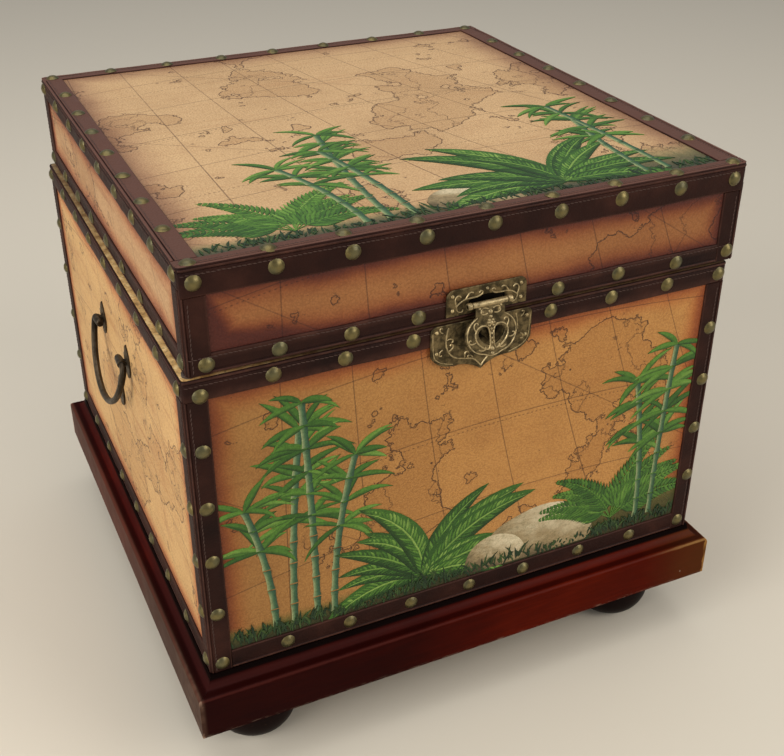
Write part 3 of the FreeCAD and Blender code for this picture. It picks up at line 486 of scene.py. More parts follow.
def pick(place, direction):
    """How far a place lies along a direction."""
    return place.node("ShaderNodeVectorMath", {"operation": "DOT_PRODUCT"}, {0: place, 1: direction}, 1)


def thin_line(distance, width=LINE_WIDTH):
    return 1 - fade(distance, width * 0.4, width * 1.5)


def ruled(value, pitch):
    """Thin lines at an even pitch across a value."""
    return thin_line(abs(value % pitch - pitch / 2))


def contour(u, v, seed, scale, level, width=LINE_WIDTH):
    """A pen line of even width along a level of a wandering height, and that height."""
    height, right, above = (noise(join(u + du, v + dv, seed), scale, 7.0, 0.56)
                            for du, dv in ((0, 0), (CONTOUR_STEP, 0), (0, CONTOUR_STEP)))
    across, up = right - height, above - height
    slope = height.math("SQRT", across * across + up * up) / CONTOUR_STEP
    return thin_line(abs(height - level) / height.math("MAXIMUM", slope, 0.5), width), height


def scaled(colour, *shares):
    return [value * share for value, share in zip(colour, shares)]


def printed_cover(name, seed, across, up, middle, half, paper, glow, char, age, grass=None,
                  tints=(GLOW, CHAR), shade=0.0, soot=0.0):
    """The finish of one panel, whose window between the straps is given by its middle and half sizes.

    glow and char are how far and how strongly the edges are scorched in two tints, age is how streaked the
    print is, shade is how strongly painted shade darkens it towards the left, and soot is how much further
    the scorch creeps in at the lower left.
    """
    finish, place = new_finish(name)
    u = pick(place, across) - middle[0]
    v = pick(place, up) - middle[1]
    chart = join(u, v, seed)
    shore, coast = contour(u, v, seed, 9.0, COAST)
    land = fade(coast, COAST, COAST + 0.002)
    border = contour(u, v, seed + 7.0, 17.0, 0.5, LINE_WIDTH * 0.8)[0] * land
    islet, isles = contour(u, v, seed + 11.0, 38.0, ISLES)
    sea = fade(coast, COAST - 0.02, COAST - 0.06)
    towns = fade(cells(chart, 44.0), 0.05, 0.035) * land
    shoals = fade(noise(stretch(chart, 170, 420, 1), 1.0, 1.0), 0.74, 0.78)
    shoals = shoals * fade(noise(chart, 21.0), 0.5, 0.58)
    meridians = ruled(u * (1 + v * 1.6) + v * 0.2, MERIDIANS)
    bowed = v + u * u * 0.45 - u * 0.05
    parallels = ruled(bowed, PARALLELS)
    dots = fade(abs(u % DOT_PITCH - DOT_PITCH / 2), 0.0009, 0.0005)
    tropics = ruled(bowed + PARALLELS * 0.4, PARALLELS * 1.7) * dots
    rhumbs = ruled(u * 0.55 + v * 0.83, RHUMBS)
    pen = shore * 0.9 + border * 0.6 + islet * sea * 0.8 + towns * 0.8 + shoals * 0.45
    pen = pen + meridians * 0.55 + parallels * 0.5 + tropics * 0.55 + rhumbs * 0.4
    pen = pen * (0.75 + noise(chart, 16.0, 3.0) * 0.6)
    cloud = noise(chart, 13.0, 5.0, 0.6)
    streak = fade(noise(stretch(chart, 7, 90, 1), 2.0, 4.0), 0.5, 0.78)
    stain = fade(noise(join(u, v, seed + 3.0), 24.0, 6.0, 0.7), 0.5, 0.78)
    tones = [scaled(paper, lift, lift ** 1.2, lift ** 1.4) for lift in (0.86, 1.0, 1.08)]
    colour = ramp(cloud, *zip((0.3, 0.5, 0.72), tones))
    colour = mix(land * 0.55 + fade(isles, ISLES, ISLES + 0.002) * sea * 0.4, colour,
                 scaled(paper, 0.82, 0.76, 0.7))
    colour = mix((stain * 0.6 + streak * 0.7) * age, colour, scaled(paper, 0.62, 0.42, 0.34))
    colour = mix(pen.math("MINIMUM", pen, 0.85), colour, INK)
    # painted shade, darker towards the left end
    colour = mix(fade(u, 0.03, -half[0]) * shade, colour, (0.3, 0.28, 0.25), "MULTIPLY")
    reach = u.math("MINIMUM", half[0] - abs(u), half[1] - abs(v))
    reach = reach - fade(u, 0.09 - half[0], -half[0]) * fade(v, half[1], -half[1]) * soot
    reach = reach + (noise(chart, 20.0, 4.0) - 0.5) * glow * 0.7
    colour = mix(fade(reach, glow, -0.15 * glow), colour, tints[0], "MULTIPLY")
    colour = mix(fade(reach, glow * 0.5, -0.15 * glow) * char, colour, tints[1])
    if grass:
        bank, deep, lush = grass
        hill = 0.5 + fade(u, -0.1, half[0]) * 0.7 + (noise(join(u, 0.0, seed), 16.0, 3.0) - 0.5) * 0.6
        rise = (v + half[1]) / (hill * bank)
        tufts = noise(stretch(chart, 190, 60, 1), 1.0, 4.0) - 0.5
        fresh = [(dark + light) / 2.6 for dark, light in zip(deep, lush)]
        green = ramp(rise + tufts * 0.35, (0.1, deep), (0.55, fresh), (1.0, lush))
        colour = mix(fade(rise + tufts * 0.4, 1.45, 0.6) * 0.92, colour, green)
    grain = cells(place, GRAIN_SCALE)
    crease = noise(place, 240.0, 3.0)
    colour = mix(fade(grain, 0.3, 0.75) * 0.3, colour, (0.5, 0.4, 0.34), "MULTIPLY")
    return set_finish(finish, place, base_color=colour, roughness=0.44 + cloud * 0.16 + grain * 0.1,
                      specular_ior_level=0.3, normal=bump(1 - grain + crease * 0.5, 0.0003))


COMPASS = {"front": (1, 0, 0), "right": (0, 1, 0), "back": (-1, 0, 0), "left": (0, -1, 0)}
FRONT_PAPER = (0.45, 0.215, 0.058)
LID_FRONT_PAPER = (0.305, 0.122, 0.037)
LID_GLOW = (0.56, 0.22, 0.16)
SIDE_PAPER = (0.575, 0.35, 0.142)
LID_SIDE_PAPER = (0.46, 0.275, 0.132)
TOP_PAPER = (0.51, 0.33, 0.165)
BODY_SCORCH = (0.018, 0.45)
LID_SCORCH = (0.017, 0.7)
TOP_SCORCH = (0.03, 0.3)
FRONT_AGE, SIDE_AGE, TOP_AGE = 0.25, 0.85, 0.3
BODY_SEED, LID_SEED, TOP_SEED = 7.3, 31.7, 55.2
FRONT_SHADE = 0.45
LID_SOOT = 0.01
FRONT_GRASS = (0.026, (0.012, 0.026, 0.007), (0.095, 0.11, 0.02))
TOP_GRASS = (0.026, (0.03, 0.042, 0.026), (0.2, 0.18, 0.075))
window_half = cover_face - CORNER_STRAP
body_window = (body_bottom + BODY_BOTTOM_STRAP, body_top - BODY_TOP_STRAP)
for number, (side, across) in enumerate(COMPASS.items()):
    front = side == "front"
    age = FRONT_AGE if front else SIDE_AGE
    level, half_height = sum(body_window) / 2, (body_window[1] - body_window[0]) / 2
    dress(printed_cover(f"chart_body_{side}", BODY_SEED + number * 5.1, across, (0, 0, 1), (0, level),
                        (window_half, half_height), FRONT_PAPER if front else SIDE_PAPER, *BODY_SCORCH,
                        age, FRONT_GRASS if front else None, shade=FRONT_SHADE if front else 0),
          f"body_cover_{side}")
    lid_window = (lid_bottom + LID_BOTTOM_STRAP, lid_cover_top - LID_TOP_STRAPS[side])
    level, half_height = sum(lid_window) / 2, (lid_window[1] - lid_window[0]) / 2
    dress(printed_cover(f"chart_lid_{side}", LID_SEED + number * 4.3, across, (0, 0, 1),
                        (lid_shift * across[0], level), (window_half, half_height),
                        LID_FRONT_PAPER if front else LID_SIDE_PAPER, *LID_SCORCH, age,
                        tints=(LID_GLOW, BLACK_CHAR) if front else (GLOW, CHAR),
                        soot=LID_SOOT if front else 0),
          f"lid_cover_{side}")
dress(printed_cover("chart_top", TOP_SEED, (1, 0, 0), (0, 1, 0), (lid_shift, 0),
                    (window_half, strap_face - TOP_FRONT_STRAP), TOP_PAPER, *TOP_SCORCH, TOP_AGE,
                    TOP_GRASS, tints=(MAUVE_GLOW, CHAR)),
      "lid_cover_top")


# Painted plants.
# Canes, broad leaves, ferns, grass and boulders in thick opaque paint over the print.
# Each stroke is a thin film laid a hair above the strokes that it crosses.
PAINT_FILM = 0.0001
STROKE_STEP = 0.0000007
UNDER_STRAP = 0.001
RIB_PITCH = 0.0034
RIB_WIDTH = 0.0016
CANE_JOINT = 0.017
LEAFLETS = 22
LEAF_GREENS = ((0.01, 0.034, 0.007), (0.032, 0.1, 0.013), (0.085, 0.2, 0.024), (0.24, 0.36, 0.075))
GRASS_GREENS = ((0.007, 0.018, 0.008), (0.018, 0.045, 0.012), (0.055, 0.095, 0.018))
CANE_TINTS = ((0.018, 0.055, 0.03), (0.06, 0.14, 0.06), (0.34, 0.36, 0.17))
STONE_TINTS = ((0.05, 0.034, 0.016), (0.3, 0.22, 0.11), (0.66, 0.56, 0.37))
brush = random.Random(11)


def add_shape(shape, part, place=None):
    """Set a finished part into a larger shape."""
    if place is not None:
        move(part, place)
    data = bpy.data.meshes.new("part")
    part.to_mesh(data)
    part.free()
    shape.from_mesh(data)
    bpy.data.meshes.remove(data)


def blend_tints(tints, share):
    """A colour along a row of tints, from the first at 0 to the last at 1."""
    spot = min(max(share, 0), 0.999) * (len(tints) - 1)
    step = int(spot)
    return Vector(tints[step]).lerp(Vector(tints[step + 1]), spot - step)


def arc_spot(base, heading, length, bend, along):
    """Where an arc that leaves a base on a heading has come to, and its heading there."""
    turn = heading + bend * along
    radius = length / bend
    return (base[0] + radius * (math.sin(turn) - math.sin(heading)),
            base[1] - radius * (math.cos(turn) - math.cos(heading)), turn)


def leaf_breadth(along):
    """The half width of a pointed leaf along its length, as a share of its greatest half width."""
    return math.sin(math.pi * min(along ** 0.75 * 0.97 + 0.03, 1)) ** 0.8


class Painting:
    """Strokes of paint on one panel, drawn with x to the right, y up and z out of the panel."""

    def __init__(self):
        self.shape = bmesh.new()
        self.shape.verts.layers.float_color.new("paint")
        self.level = 0

    def stroke(self, columns, rows, spread):
        """A grid patch whose corners, by shares across and along, are spread over the panel and tinted."""
        self.level += 1
        part = bmesh.new()
        colour = part.verts.layers.float_color.new("paint")
        bmesh.ops.create_grid(part, x_segments=columns, y_segments=rows, size=0.5)
        for vert in part.verts:
            x, y, tint = spread(vert.co.x * 2, vert.co.y + 0.5)
            vert.co = (x, y, self.level * STROKE_STEP)
            vert[colour] = (*tint, 1)
        add_shape(self.shape, part)

    def leaf(self, base, heading, length, width, bend, light, tints=LEAF_GREENS, rows=7):
        """A pointed leaf along an arc, brightest on its rib and on its upper half."""
        flip = 1 if math.cos(heading + bend / 2) > 0 else -1

        def spread(across, along):
            x, y, turn = arc_spot(base, heading, length, bend, along)
            side = across * width / 2 * leaf_breadth(along)
            tone = light - 0.28 * abs(across) + 0.22 * across * flip + 0.15 * along
            return x - side * math.sin(turn), y + side * math.cos(turn), blend_tints(tints, tone)
        self.stroke(2, rows, spread)

    def ribbed_leaf(self, base, heading, length, width, bend, light):
        """A broad leaf under a row of slanting strokes on each side of a pale rib."""
        self.leaf(base, heading, length, width, bend, light - 0.25, rows=12)
        ribs = round(length / RIB_PITCH)
        under = self.level
        for step in range(1, ribs):
            along = step / ribs
            x, y, turn = arc_spot(base, heading, length, bend, along)
            reach = width / 2 * leaf_breadth(min(along * 1.04 + 0.05, 1)) * 1.25
            self.level = under + step % 6 * 2
            for side in (-1, 1):
                lit = 0.16 if side * math.cos(turn) > 0 else -0.06
                self.leaf((x, y), turn + side * brush.uniform(0.75, 0.9),
                          reach * brush.uniform(0.85, 1.12), brush.uniform(0.0016, 0.0028), -side * 0.35,
                          light + lit + brush.uniform(-0.22, 0.16), rows=3)
        self.level = under + 12
        self.leaf(base, heading, length * 0.96, RIB_WIDTH, bend, light + 0.35)

    def cane(self, base, height, width, lean):
        """A jointed stem with lance leaves at its upper joints."""
        joints = max(3, round(height / CANE_JOINT))
        for joint in range(joints):
            low, high = (height * (joint + step) / joints for step in (0.03, 0.97))

            def spread(across, along):
                rise = low + (high - low) * along
                swell = 1 + 0.25 * (2 * along - 1) ** 4
                tone = 0.42 - 0.5 * across - 0.3 * along ** 8
                slide = lean * (rise / height) ** 2 * height
                x = base[0] + slide + across * width / 2 * swell
                return x, base[1] + rise, blend_tints(CANE_TINTS, tone)
            self.stroke(4, 4, spread)
            if joint < joints * 0.35:
                continue
            crown = (base[0] + lean * (high / height) ** 2 * height, base[1] + high)
            for hand in (-1, 1):
                for _ in range(brush.choice((2, 2, 3, 4))):
                    heading = math.radians(90 - hand * brush.uniform(15, 110))
                    self.leaf(crown, heading, brush.uniform(0.02, 0.036), brush.uniform(0.0034, 0.0054),
                              -hand * brush.uniform(0.4, 1.1), brush.uniform(0.25, 0.7))

    def canes(self, ground, width, stems):
        for x, height, lean in stems:
            self.cane((x, ground), height, width, lean)

    def broad_plant(self, base, size, count):
        """A clump of long ribbed leaves that fan out from one crown."""
        for number in range(count):
            share = (number + 0.5) / count
            heading = math.radians(172 - 164 * share + brush.uniform(-7, 7))
            hand = 1 if heading < math.pi / 2 else -1
            length = size * brush.uniform(0.72, 1.1) * (1 - 0.3 * abs(share - 0.5))
            self.ribbed_leaf(base, heading, length, length * brush.uniform(0.17, 0.22),
                             -hand * brush.uniform(0.5, 1.15), brush.uniform(0.35, 0.6))

    def fern(self, base, size, count):
        """Arching fronds with paired leaflets."""
        for number in range(count):
            heading = math.radians(150 - 120 * (number + 0.5) / count + brush.uniform(-8, 8))
            hand = 1 if heading < math.pi / 2 else -1
            bend = -hand * brush.uniform(0.7, 1.2)
            length = size * brush.uniform(0.8, 1.1)
            light = brush.uniform(0.25, 0.55)
            self.leaf(base, heading, length, RIB_WIDTH, bend, light + 0.25)
            under = self.level
            for step in range(3, LEAFLETS):
                along = step / LEAFLETS
                x, y, turn = arc_spot(base, heading, length, bend, along)
                self.level = under + step % 4 * 2
                for side in (-1, 1):
                    self.leaf((x, y), turn + side * 1.05, length * 0.27 * (1.05 - along), RIB_WIDTH * 2,
                              -side * 0.5, light + brush.uniform(-0.12, 0.22), rows=3)
            self.level = under + 8

    def grass(self, low, high, ground, height, count):
        """Blades along the ground, longer here and there."""
        for _ in range(count):
            x = brush.uniform(low, high)
            tall = height * brush.uniform(0.35, 1.0) * (1 + 0.6 * math.sin(x * 60) * math.sin(x * 23))
            lean = brush.uniform(-0.9, 0.9)
            self.leaf((x, ground + brush.uniform(0, height * 0.6)), math.pi / 2 - lean * 0.4, tall,
                      brush.uniform(0.001, 0.002), -lean, brush.uniform(0.1, 0.8), GRASS_GREENS, rows=3)

    def boulder(self, middle, width, height):
        """A rounded stone, lit from above on its right."""
        seed = brush.uniform(0, 50)

        def spread(across, along):
            angle = math.pi * along * 2
            edge = 1 + 0.16 * ripple(Vector((math.cos(angle) * 1.2, math.sin(angle) * 1.2, seed)))
            share = (across + 1) / 2
            x = math.cos(angle) * share * edge
            y = math.sin(angle) * share * edge
            mottle = 0.25 * ripple(Vector((x * 3, y * 3, seed + 9)))
            mottle += 0.15 * ripple(Vector((x * 11, y * 7, seed)))
            tone = 0.5 + 0.26 * x + 0.42 * y - 0.5 * max(share - 0.8, 0) + mottle
            rise = max(y, -0.55) * height / 2
            return middle[0] + x * width / 2, middle[1] + rise, blend_tints(STONE_TINTS, tone)
        self.stroke(10, 36, spread)

    def finish(self, name, place, window, finish, body):
        """Trim the paint to its window, where the straps cover its edges, and set it on the panel."""
        bmesh.ops.remove_doubles(self.shape, verts=self.shape.verts[:], dist=MERGE_DISTANCE)
        (left, low), (right, high) = window
        for edge, outward in (((left, 0, 0), (-1, 0, 0)), ((right, 0, 0), (1, 0, 0)),
                              ((0, low, 0), (0, -1, 0)), ((0, high, 0), (0, 1, 0))):
            cut(self.shape, Vector(edge) + Vector(outward) * UNDER_STRAP, outward)
        extrude(self.shape, self.shape.faces[:], (0, 0, -PAINT_FILM - self.level * STROKE_STEP))
        move(self.shape, place)
        return add_piece(name, self.shape, finish, body)


def paint():
    finish, place = new_finish("plant_paint")
    laid = place.node("ShaderNodeAttribute", {"attribute_name": "paint"})
    fleck = noise(place, 420.0, 4.0, 0.65)
    streak = noise(stretch(place, 700, 700, 120), 1.0, 3.0)
    grain = cells(place, GRAIN_SCALE)
    colour = mix(fade(fleck, 0.4, 0.75) * 0.5, laid, (0.35, 0.4, 0.3), "MULTIPLY")
    return set_finish(finish, place, base_color=colour, roughness=0.46 + streak * 0.2,
                      specular_ior_level=0.3, normal=bump(1 - grain + streak * 0.4, 0.0003))


def on_front(x, depth, z):
    """Set a drawing with x to the right, y up and z out on an upright plane that faces the front."""
    return Matrix.Translation((x, -depth, z)) @ rotation(90, "X")


paint_finish = paint()
front_art = Painting()
ground = body_window[0]
front_art.grass(-window_half, window_half, ground, 0.011, 170)
front_art.canes(ground + 0.006, 0.0044, ((-0.128, 0.15, 0.06), (-0.112, 0.168, -0.03), (-0.1, 0.122, 0.14),
                                         (-0.141, 0.1, -0.16)))
front_art.broad_plant((-0.034, ground + 0.013), 0.098, 13)
front_art.boulder((0.056, ground + 0.017), 0.085, 0.056)
front_art.boulder((0.02, ground + 0.012), 0.046, 0.036)
front_art.fern((0.116, ground + 0.014), 0.07, 9)
front_art.canes(ground + 0.008, 0.004, ((0.138, 0.118, -0.1), (0.15, 0.142, 0.04)))
front_art.grass(-window_half, window_half, ground, 0.0105, 340)
front_art.finish("front_plants", on_front(0, cover_face + PAINT_FILM, 0),
                 ((-window_half, body_window[0]), (window_half, body_window[1])), paint_finish, "trunk")

top_art = Painting()
ground = TOP_FRONT_STRAP - strap_face
top_art.grass(-window_half, window_half, ground, 0.012, 150)
top_art.fern((-0.112, ground + 0.012), 0.078, 9)
top_art.canes(ground + 0.006, 0.0044, ((-0.055, 0.15, 0.08), (-0.039, 0.12, -0.12), (-0.07, 0.1, -0.2)))
top_art.boulder((0.004, ground + 0.013), 0.062, 0.042)
top_art.broad_plant((0.066, ground + 0.013), 0.108, 13)
top_art.canes(ground + 0.006, 0.004, ((0.122, 0.105, 0.1), (0.138, 0.138, -0.06)))
top_art.grass(-window_half, window_half, ground, 0.01, 200)
top_art.finish("top_plants", Matrix.Translation((lid_shift, 0, lid_cover_top + PAINT_FILM)),
               ((-window_half, ground), (window_half, -ground)), paint_finish, "lid")


# Straps.
# Strips of dark brown leatherette along every edge, with a rolled hem at the box's edge.
# They are glued over the covers, lap the next side at each corner and round the upright edges softly.
STRAP = strap_face - cover_face
STRAP_TINTS = ((0.3, (0.009, 0.0028, 0.0022)), (0.55, (0.021, 0.0064, 0.0043)),
               (0.75, (0.042, 0.014, 0.009)))


def wear_and_light_share(place):
    """How worn the surface is, and where highlight and shade are painted, as its vertices say."""
    return place.node("ShaderNodeAttribute", {"attribute_name": "wear"}, output=2)


def strap_leather():
    finish, place = new_finish("strap_leather")
    wear = wear_and_light_share(place)
    cloud = noise(place, 22.0, 4.0)
    rub = fade(noise(place, 120.0, 5.0, 0.65), 0.4, 0.7)
    grain = cells(place, GRAIN_SCALE)
    colour = ramp(cloud, *STRAP_TINTS)
    colour = mix(wear * (0.3 + rub * 0.5), colour, (0.09, 0.037, 0.025))
    # painted sheen: the lid's top straps are lighter on their upper faces
    top_sheen = fade(split(place)[2], lid_top - STRAP / 4, lid_top - STRAP / 8)
    colour = mix(top_sheen * 0.75, colour, (0.12, 0.057, 0.042))
    return set_finish(finish, place, base_color=colour, roughness=0.42 + cloud * 0.2 + rub * 0.08,
                      specular_ior_level=0.1, normal=bump(grain * 0.5 + noise(place, 260.0, 3.0), 0.0003))


strap_finish = strap_leather()
HEM_WIDTH = 0.0021
HEM_RISE = 0.0003
GROOVE = 0.0006
STRAP_WAVE = 0.00035
WAVE_SCALE = 28
STRAP_STEP = 0.008
CORNER_ROUND = 0.0034
CORNER_CUTS = (0.25, 0.5, 0.75, 1)
RIGHT, FORWARD, UP = Vector((1, 0, 0)), Vector((0, -1, 0)), Vector((0, 0, 1))
strap_inner = strap_face - CORNER_STRAP


def strap(shape, corner, along, inward, out, length, width):
    """One strap from the corner where its hem starts; it is drawn with x along, y inward and z out."""
    part = new_shape()
    pen = Pen(part, (1, 0, 0), (0, 0, 0))
    pen.line((0, 0, STRAP * 0.6))
    pen.bow((0, HEM_WIDTH, STRAP * 0.6), STRAP * 0.4 + HEM_RISE)
    pen.line((0, HEM_WIDTH + GROOVE / 2, STRAP - GROOVE), (0, HEM_WIDTH + GROOVE * 1.5, STRAP),
             (0, (width + HEM_WIDTH) / 2, STRAP), (0, width - STRAP, STRAP))
    pen.bow((0, width, STRAP * 0.4), STRAP * 0.2, 3)
    pen.line((0, width, 0)).close()
    extrude(part, fill(part), (length, 0, 0))
    long_edges = [edge for edge in part.edges if abs(edge.verts[0].co.x - edge.verts[1].co.x) > length / 2]
    bmesh.ops.subdivide_edges(part, edges=long_edges, cuts=max(1, round(length / STRAP_STEP)))

    # the hem's ridge and its outer edge are worn lighter, partly a painted highlight
    def hem_wear_and_highlight(spot):
        return 0.8 if spot.z > STRAP + HEM_RISE / 2 else 0.6 * (width - STRAP < spot.y < width)
    set_wear_and_light(part, hem_wear_and_highlight)
    for vert in part.verts:
        place = Vector(corner) + Vector(along) * vert.co.x
        vert.co.y += STRAP_WAVE * ripple(place * WAVE_SCALE) * vert.co.y / width * 1.6
        if vert.co.z > STRAP / 2:
            across = Vector(inward) * vert.co.y * 90
            vert.co.z += STRAP_WAVE * 0.5 * ripple(place * WAVE_SCALE * 2 + across)
    axes = Matrix((along, inward, out)).transposed().to_4x4()
    add_shape(shape, part, Matrix.Translation(corner) @ axes)


def round_corners(shape):
    """Draw what lies at the box's upright edges in to a round edge, each layer to a round of its own."""
    flat = strap_face - CORNER_ROUND
    for vert in shape.verts:
        reach = Vector((abs(vert.co.x) - flat, abs(vert.co.y) - flat))
        if min(reach) > 0:
            reach *= max(reach) / reach.length
            vert.co.x = math.copysign(flat + reach.x, vert.co.x)
            vert.co.y = math.copysign(flat + reach.y, vert.co.y)


def round_straps(shape):
    """Cut straps finely near the upright edges and round them there."""
    for share in CORNER_CUTS:
        for axis in (RIGHT, FORWARD):
            for hand in (-1, 1):
                cut(shape, axis * hand * (strap_face - CORNER_ROUND * share), axis, clear=False)
    round_corners(shape)


def strap_frame(name, side, bottom, top, top_width, bottom_width, shift, body):
    """The four straps of one side, of the body or of the lid."""
    shape = new_shape()
    start, below = Vector((-strap_face, -cover_face, 0)), top - top_width
    strap(shape, start + UP * top, RIGHT, -UP, FORWARD, strap_face + cover_face, top_width)
    strap(shape, start + UP * bottom, UP, RIGHT, FORWARD, below - bottom, CORNER_STRAP)
    near, far = (Vector((x, -cover_face, bottom)) for x in (-strap_inner, cover_face))
    strap(shape, far, UP, -RIGHT, FORWARD, below - bottom, cover_face - strap_inner)
    strap(shape, near, RIGHT, UP, FORWARD, 2 * strap_inner, bottom_width)
    round_straps(shape)
    move(shape, turned(side, shift))
    return add_piece(name.replace("straps", "strapping"), shape, strap_finish, body,
                     [name])


for side in SIDES:
    strap_frame(f"body_straps_{side}", side, body_bottom, body_top, BODY_TOP_STRAP, BODY_BOTTOM_STRAP,
                0, "trunk")
    strap_frame(f"lid_straps_{side}", side, lid_bottom, lid_cover_top, LID_TOP_STRAPS[side],
                LID_BOTTOM_STRAP, lid_shift, "lid")
top_straps = new_shape()
for hand in (1, -1):
    strap(top_straps, Vector((-strap_face, -hand * strap_face, lid_cover_top)), RIGHT, -FORWARD * hand, UP,
          2 * strap_face, TOP_FRONT_STRAP)
    strap(top_straps, Vector((-hand * strap_face, TOP_FRONT_STRAP - strap_face, lid_cover_top)), -FORWARD,
          RIGHT * hand, UP, 2 * (strap_face - TOP_FRONT_STRAP), TOP_END_STRAP)
round_straps(top_straps)
move(top_straps, Matrix.Translation((lid_shift, 0, 0)))
add_piece("lid_strapping_top", top_straps, strap_finish, "lid", ["lid_straps_top"])


# Stitches.
# Brown thread that runs along the hems, sunk a little into the straps.
def thread():
    finish, place = new_finish("thread")
    twist = noise(place, 900.0, 2.0)
    colour = mix(twist, (0.024, 0.012, 0.009), (0.085, 0.045, 0.034))
    return set_finish(finish, place, base_color=colour, roughness=0.6 + twist * 0.2,
                      specular_ior_level=0.3, normal=bump(twist, 0.0001))


thread_finish = thread()
STITCH = Vector((0.0015, 0.00034, 0.0003))
STITCH_PITCH = 0.0029
STITCH_SLANT = 0.16
STITCH_DRIFT = 0.00015
SLANT_DRIFT = 0.06
SEAM_INSET = 0.0042
LOWER_SEAM_INSET = 0.002
needle = random.Random(5)


def seam(shape, start, along, out, length):
    """A row of slanting stitches from a start on the strap's face."""
    across = along.cross(out)
    axes = Matrix((along, across, out)).transposed().to_4x4()
    row = new_shape()
    for step in range(1, int(length / STITCH_PITCH)):
        drift = across * needle.uniform(-STITCH_DRIFT, STITCH_DRIFT)
        middle = start + along * (step * STITCH_PITCH) + drift
        slant = Matrix.Rotation(STITCH_SLANT + needle.uniform(-SLANT_DRIFT, SLANT_DRIFT), 4, "Z")
        place = Matrix.Translation(middle) @ axes @ slant @ Matrix.Diagonal((*STITCH, 1))
        bmesh.ops.create_uvsphere(row, u_segments=6, v_segments=4, radius=1, matrix=place)
    add_shape(shape, row)


def side_seams(shape, side, bottom, top, top_width, shift, second_row=None):
    """The seams of one side's straps; a second row along the bottom is given by its level."""
    part = new_shape()
    start = Vector((-strap_face, -strap_face, 0))
    run = strap_face + cover_face
    seam(part, start + UP * (top - SEAM_INSET), RIGHT, FORWARD, run)
    if second_row:
        seam(part, start + UP * second_row, RIGHT, FORWARD, run)
    for x in (SEAM_INSET, run - SEAM_INSET):
        seam(part, start + RIGHT * x + UP * bottom, UP, FORWARD, top - top_width - bottom)
    round_corners(part)
    add_shape(shape, part, turned(side, shift))


body_seams, lid_seams = new_shape(), new_shape()
for side in SIDES:
    side_seams(body_seams, side, body_bottom, body_top, BODY_TOP_STRAP, 0)
    side_seams(lid_seams, side, lid_bottom, lid_cover_top, LID_TOP_STRAPS[side], lid_shift,
               lid_bottom + LID_BOTTOM_STRAP - LOWER_SEAM_INSET)
    ledge = new_shape()
    seam(ledge, Vector((-strap_face, SEAM_INSET - strap_face, lid_top)), RIGHT, UP, 2 * strap_face)
    round_corners(ledge)
    add_shape(lid_seams, ledge, turned(side, lid_shift))
add_piece("body_stitches", body_seams, thread_finish, "trunk")
add_piece("lid_stitches", lid_seams, thread_finish, "lid")


# Domed nails.
# Antique brass heads on steel shanks, driven by hand through strap and cover into the boards.
def nail_brass():
    finish, place = new_finish("nail_brass")
    wear = wear_and_light_share(place)
    patch = noise(place, 260.0, 4.0, 0.65)
    tarnish = fade(noise(place, 90.0, 3.0), 0.42, 0.62)
    colour = mix(tarnish, (0.13, 0.1, 0.036), (0.062, 0.057, 0.026))
    colour = mix(fade(patch, 0.45, 0.7) * (1 - wear * 0.6) * 0.8, colour, (0.022, 0.018, 0.009))
    colour = mix(wear * 0.36, colour, (0.24, 0.205, 0.085))
    return set_finish(finish, place, base_color=colour, metallic=0.8 - tarnish * 0.2,
                      roughness=0.27 + patch * 0.22, normal=bump(patch, 0.00015))


nail_finish = nail_brass()
NAIL_RADIUS = 0.0049
NAIL_RISE = 0.0023
NAIL_STEPS = (16, 4)
NAIL_INSET = 0.0085
NAIL_LIFT = (0.9, 1.06)
NAIL_DRIFT = 0.0007
NAIL_TILT = 0.07
ROW_NAILS = 9
COLUMN_GAPS = 5
COLUMN_SLIDE = 0.002
LATCH_ROW_SLIDES = (0.004, 0.001, 0.001, 0, 0, 0.0062, 0.0065, 0.006, 0.002)
LID_ROW_BOW = 0.0045
SLIPPED_NAIL = (-0.0025, -0.0045)
hammer = random.Random(23)


def dome(radius, rise, steps=12, rings=3):
    """A domed head on the plane z = 0, worn bright on its crown and round its rim, partly a painted
    highlight.
    """
    part = new_shape()
    pen = Pen(part, (0, 1, 0), (0, 0, 0))
    pen.line((radius, 0, 0))
    half = math.hypot(radius, rise) / 2
    pen.bow((0, 0, rise), half * math.tan(math.atan2(rise, radius) / 2), rings)
    lathe(part, steps)
    return set_wear_and_light(part, lambda spot: max((spot.z / rise) ** 2, 0.7 - 3 * spot.z / rise))


def drive_nail(shape, place):
    """A nail set at a place whose z points out, a little off its mark and not quite square."""
    lift = hammer.uniform(*NAIL_LIFT)
    drift = [hammer.uniform(-NAIL_DRIFT, NAIL_DRIFT) for _ in range(2)]
    tilt, lean = (Matrix.Rotation(hammer.uniform(-NAIL_TILT, NAIL_TILT), 4, axis) for axis in "XY")
    place = place @ Matrix.Translation((*drift, 0)) @ (tilt @ lean)
    add_shape(shape, dome(NAIL_RADIUS, NAIL_RISE * lift, *NAIL_STEPS), place)


nail_reach = strap_face - NAIL_INSET
row_places = [nail_reach * (2 * step / (ROW_NAILS - 1) - 1) for step in range(ROW_NAILS)]
middle_nail = ROW_NAILS // 2


def nail_row(shape, side, level, shift, latch_row=False, bow=0.0, slip=(0, 0)):
    """A row across a side; on the front the latch takes one place, and the first nail may have slipped."""
    for step, x in enumerate(row_places):
        z = level
        if latch_row and side == "front":
            if step == middle_nail:
                continue
            x += LATCH_ROW_SLIDES[step]
            if step == 0:
                x += slip[0]
                z += slip[1]
        x += bow * math.cos(x / nail_reach * math.pi / 2)
        drive_nail(shape, turned(side, shift) @ on_front(x, strap_face, z))


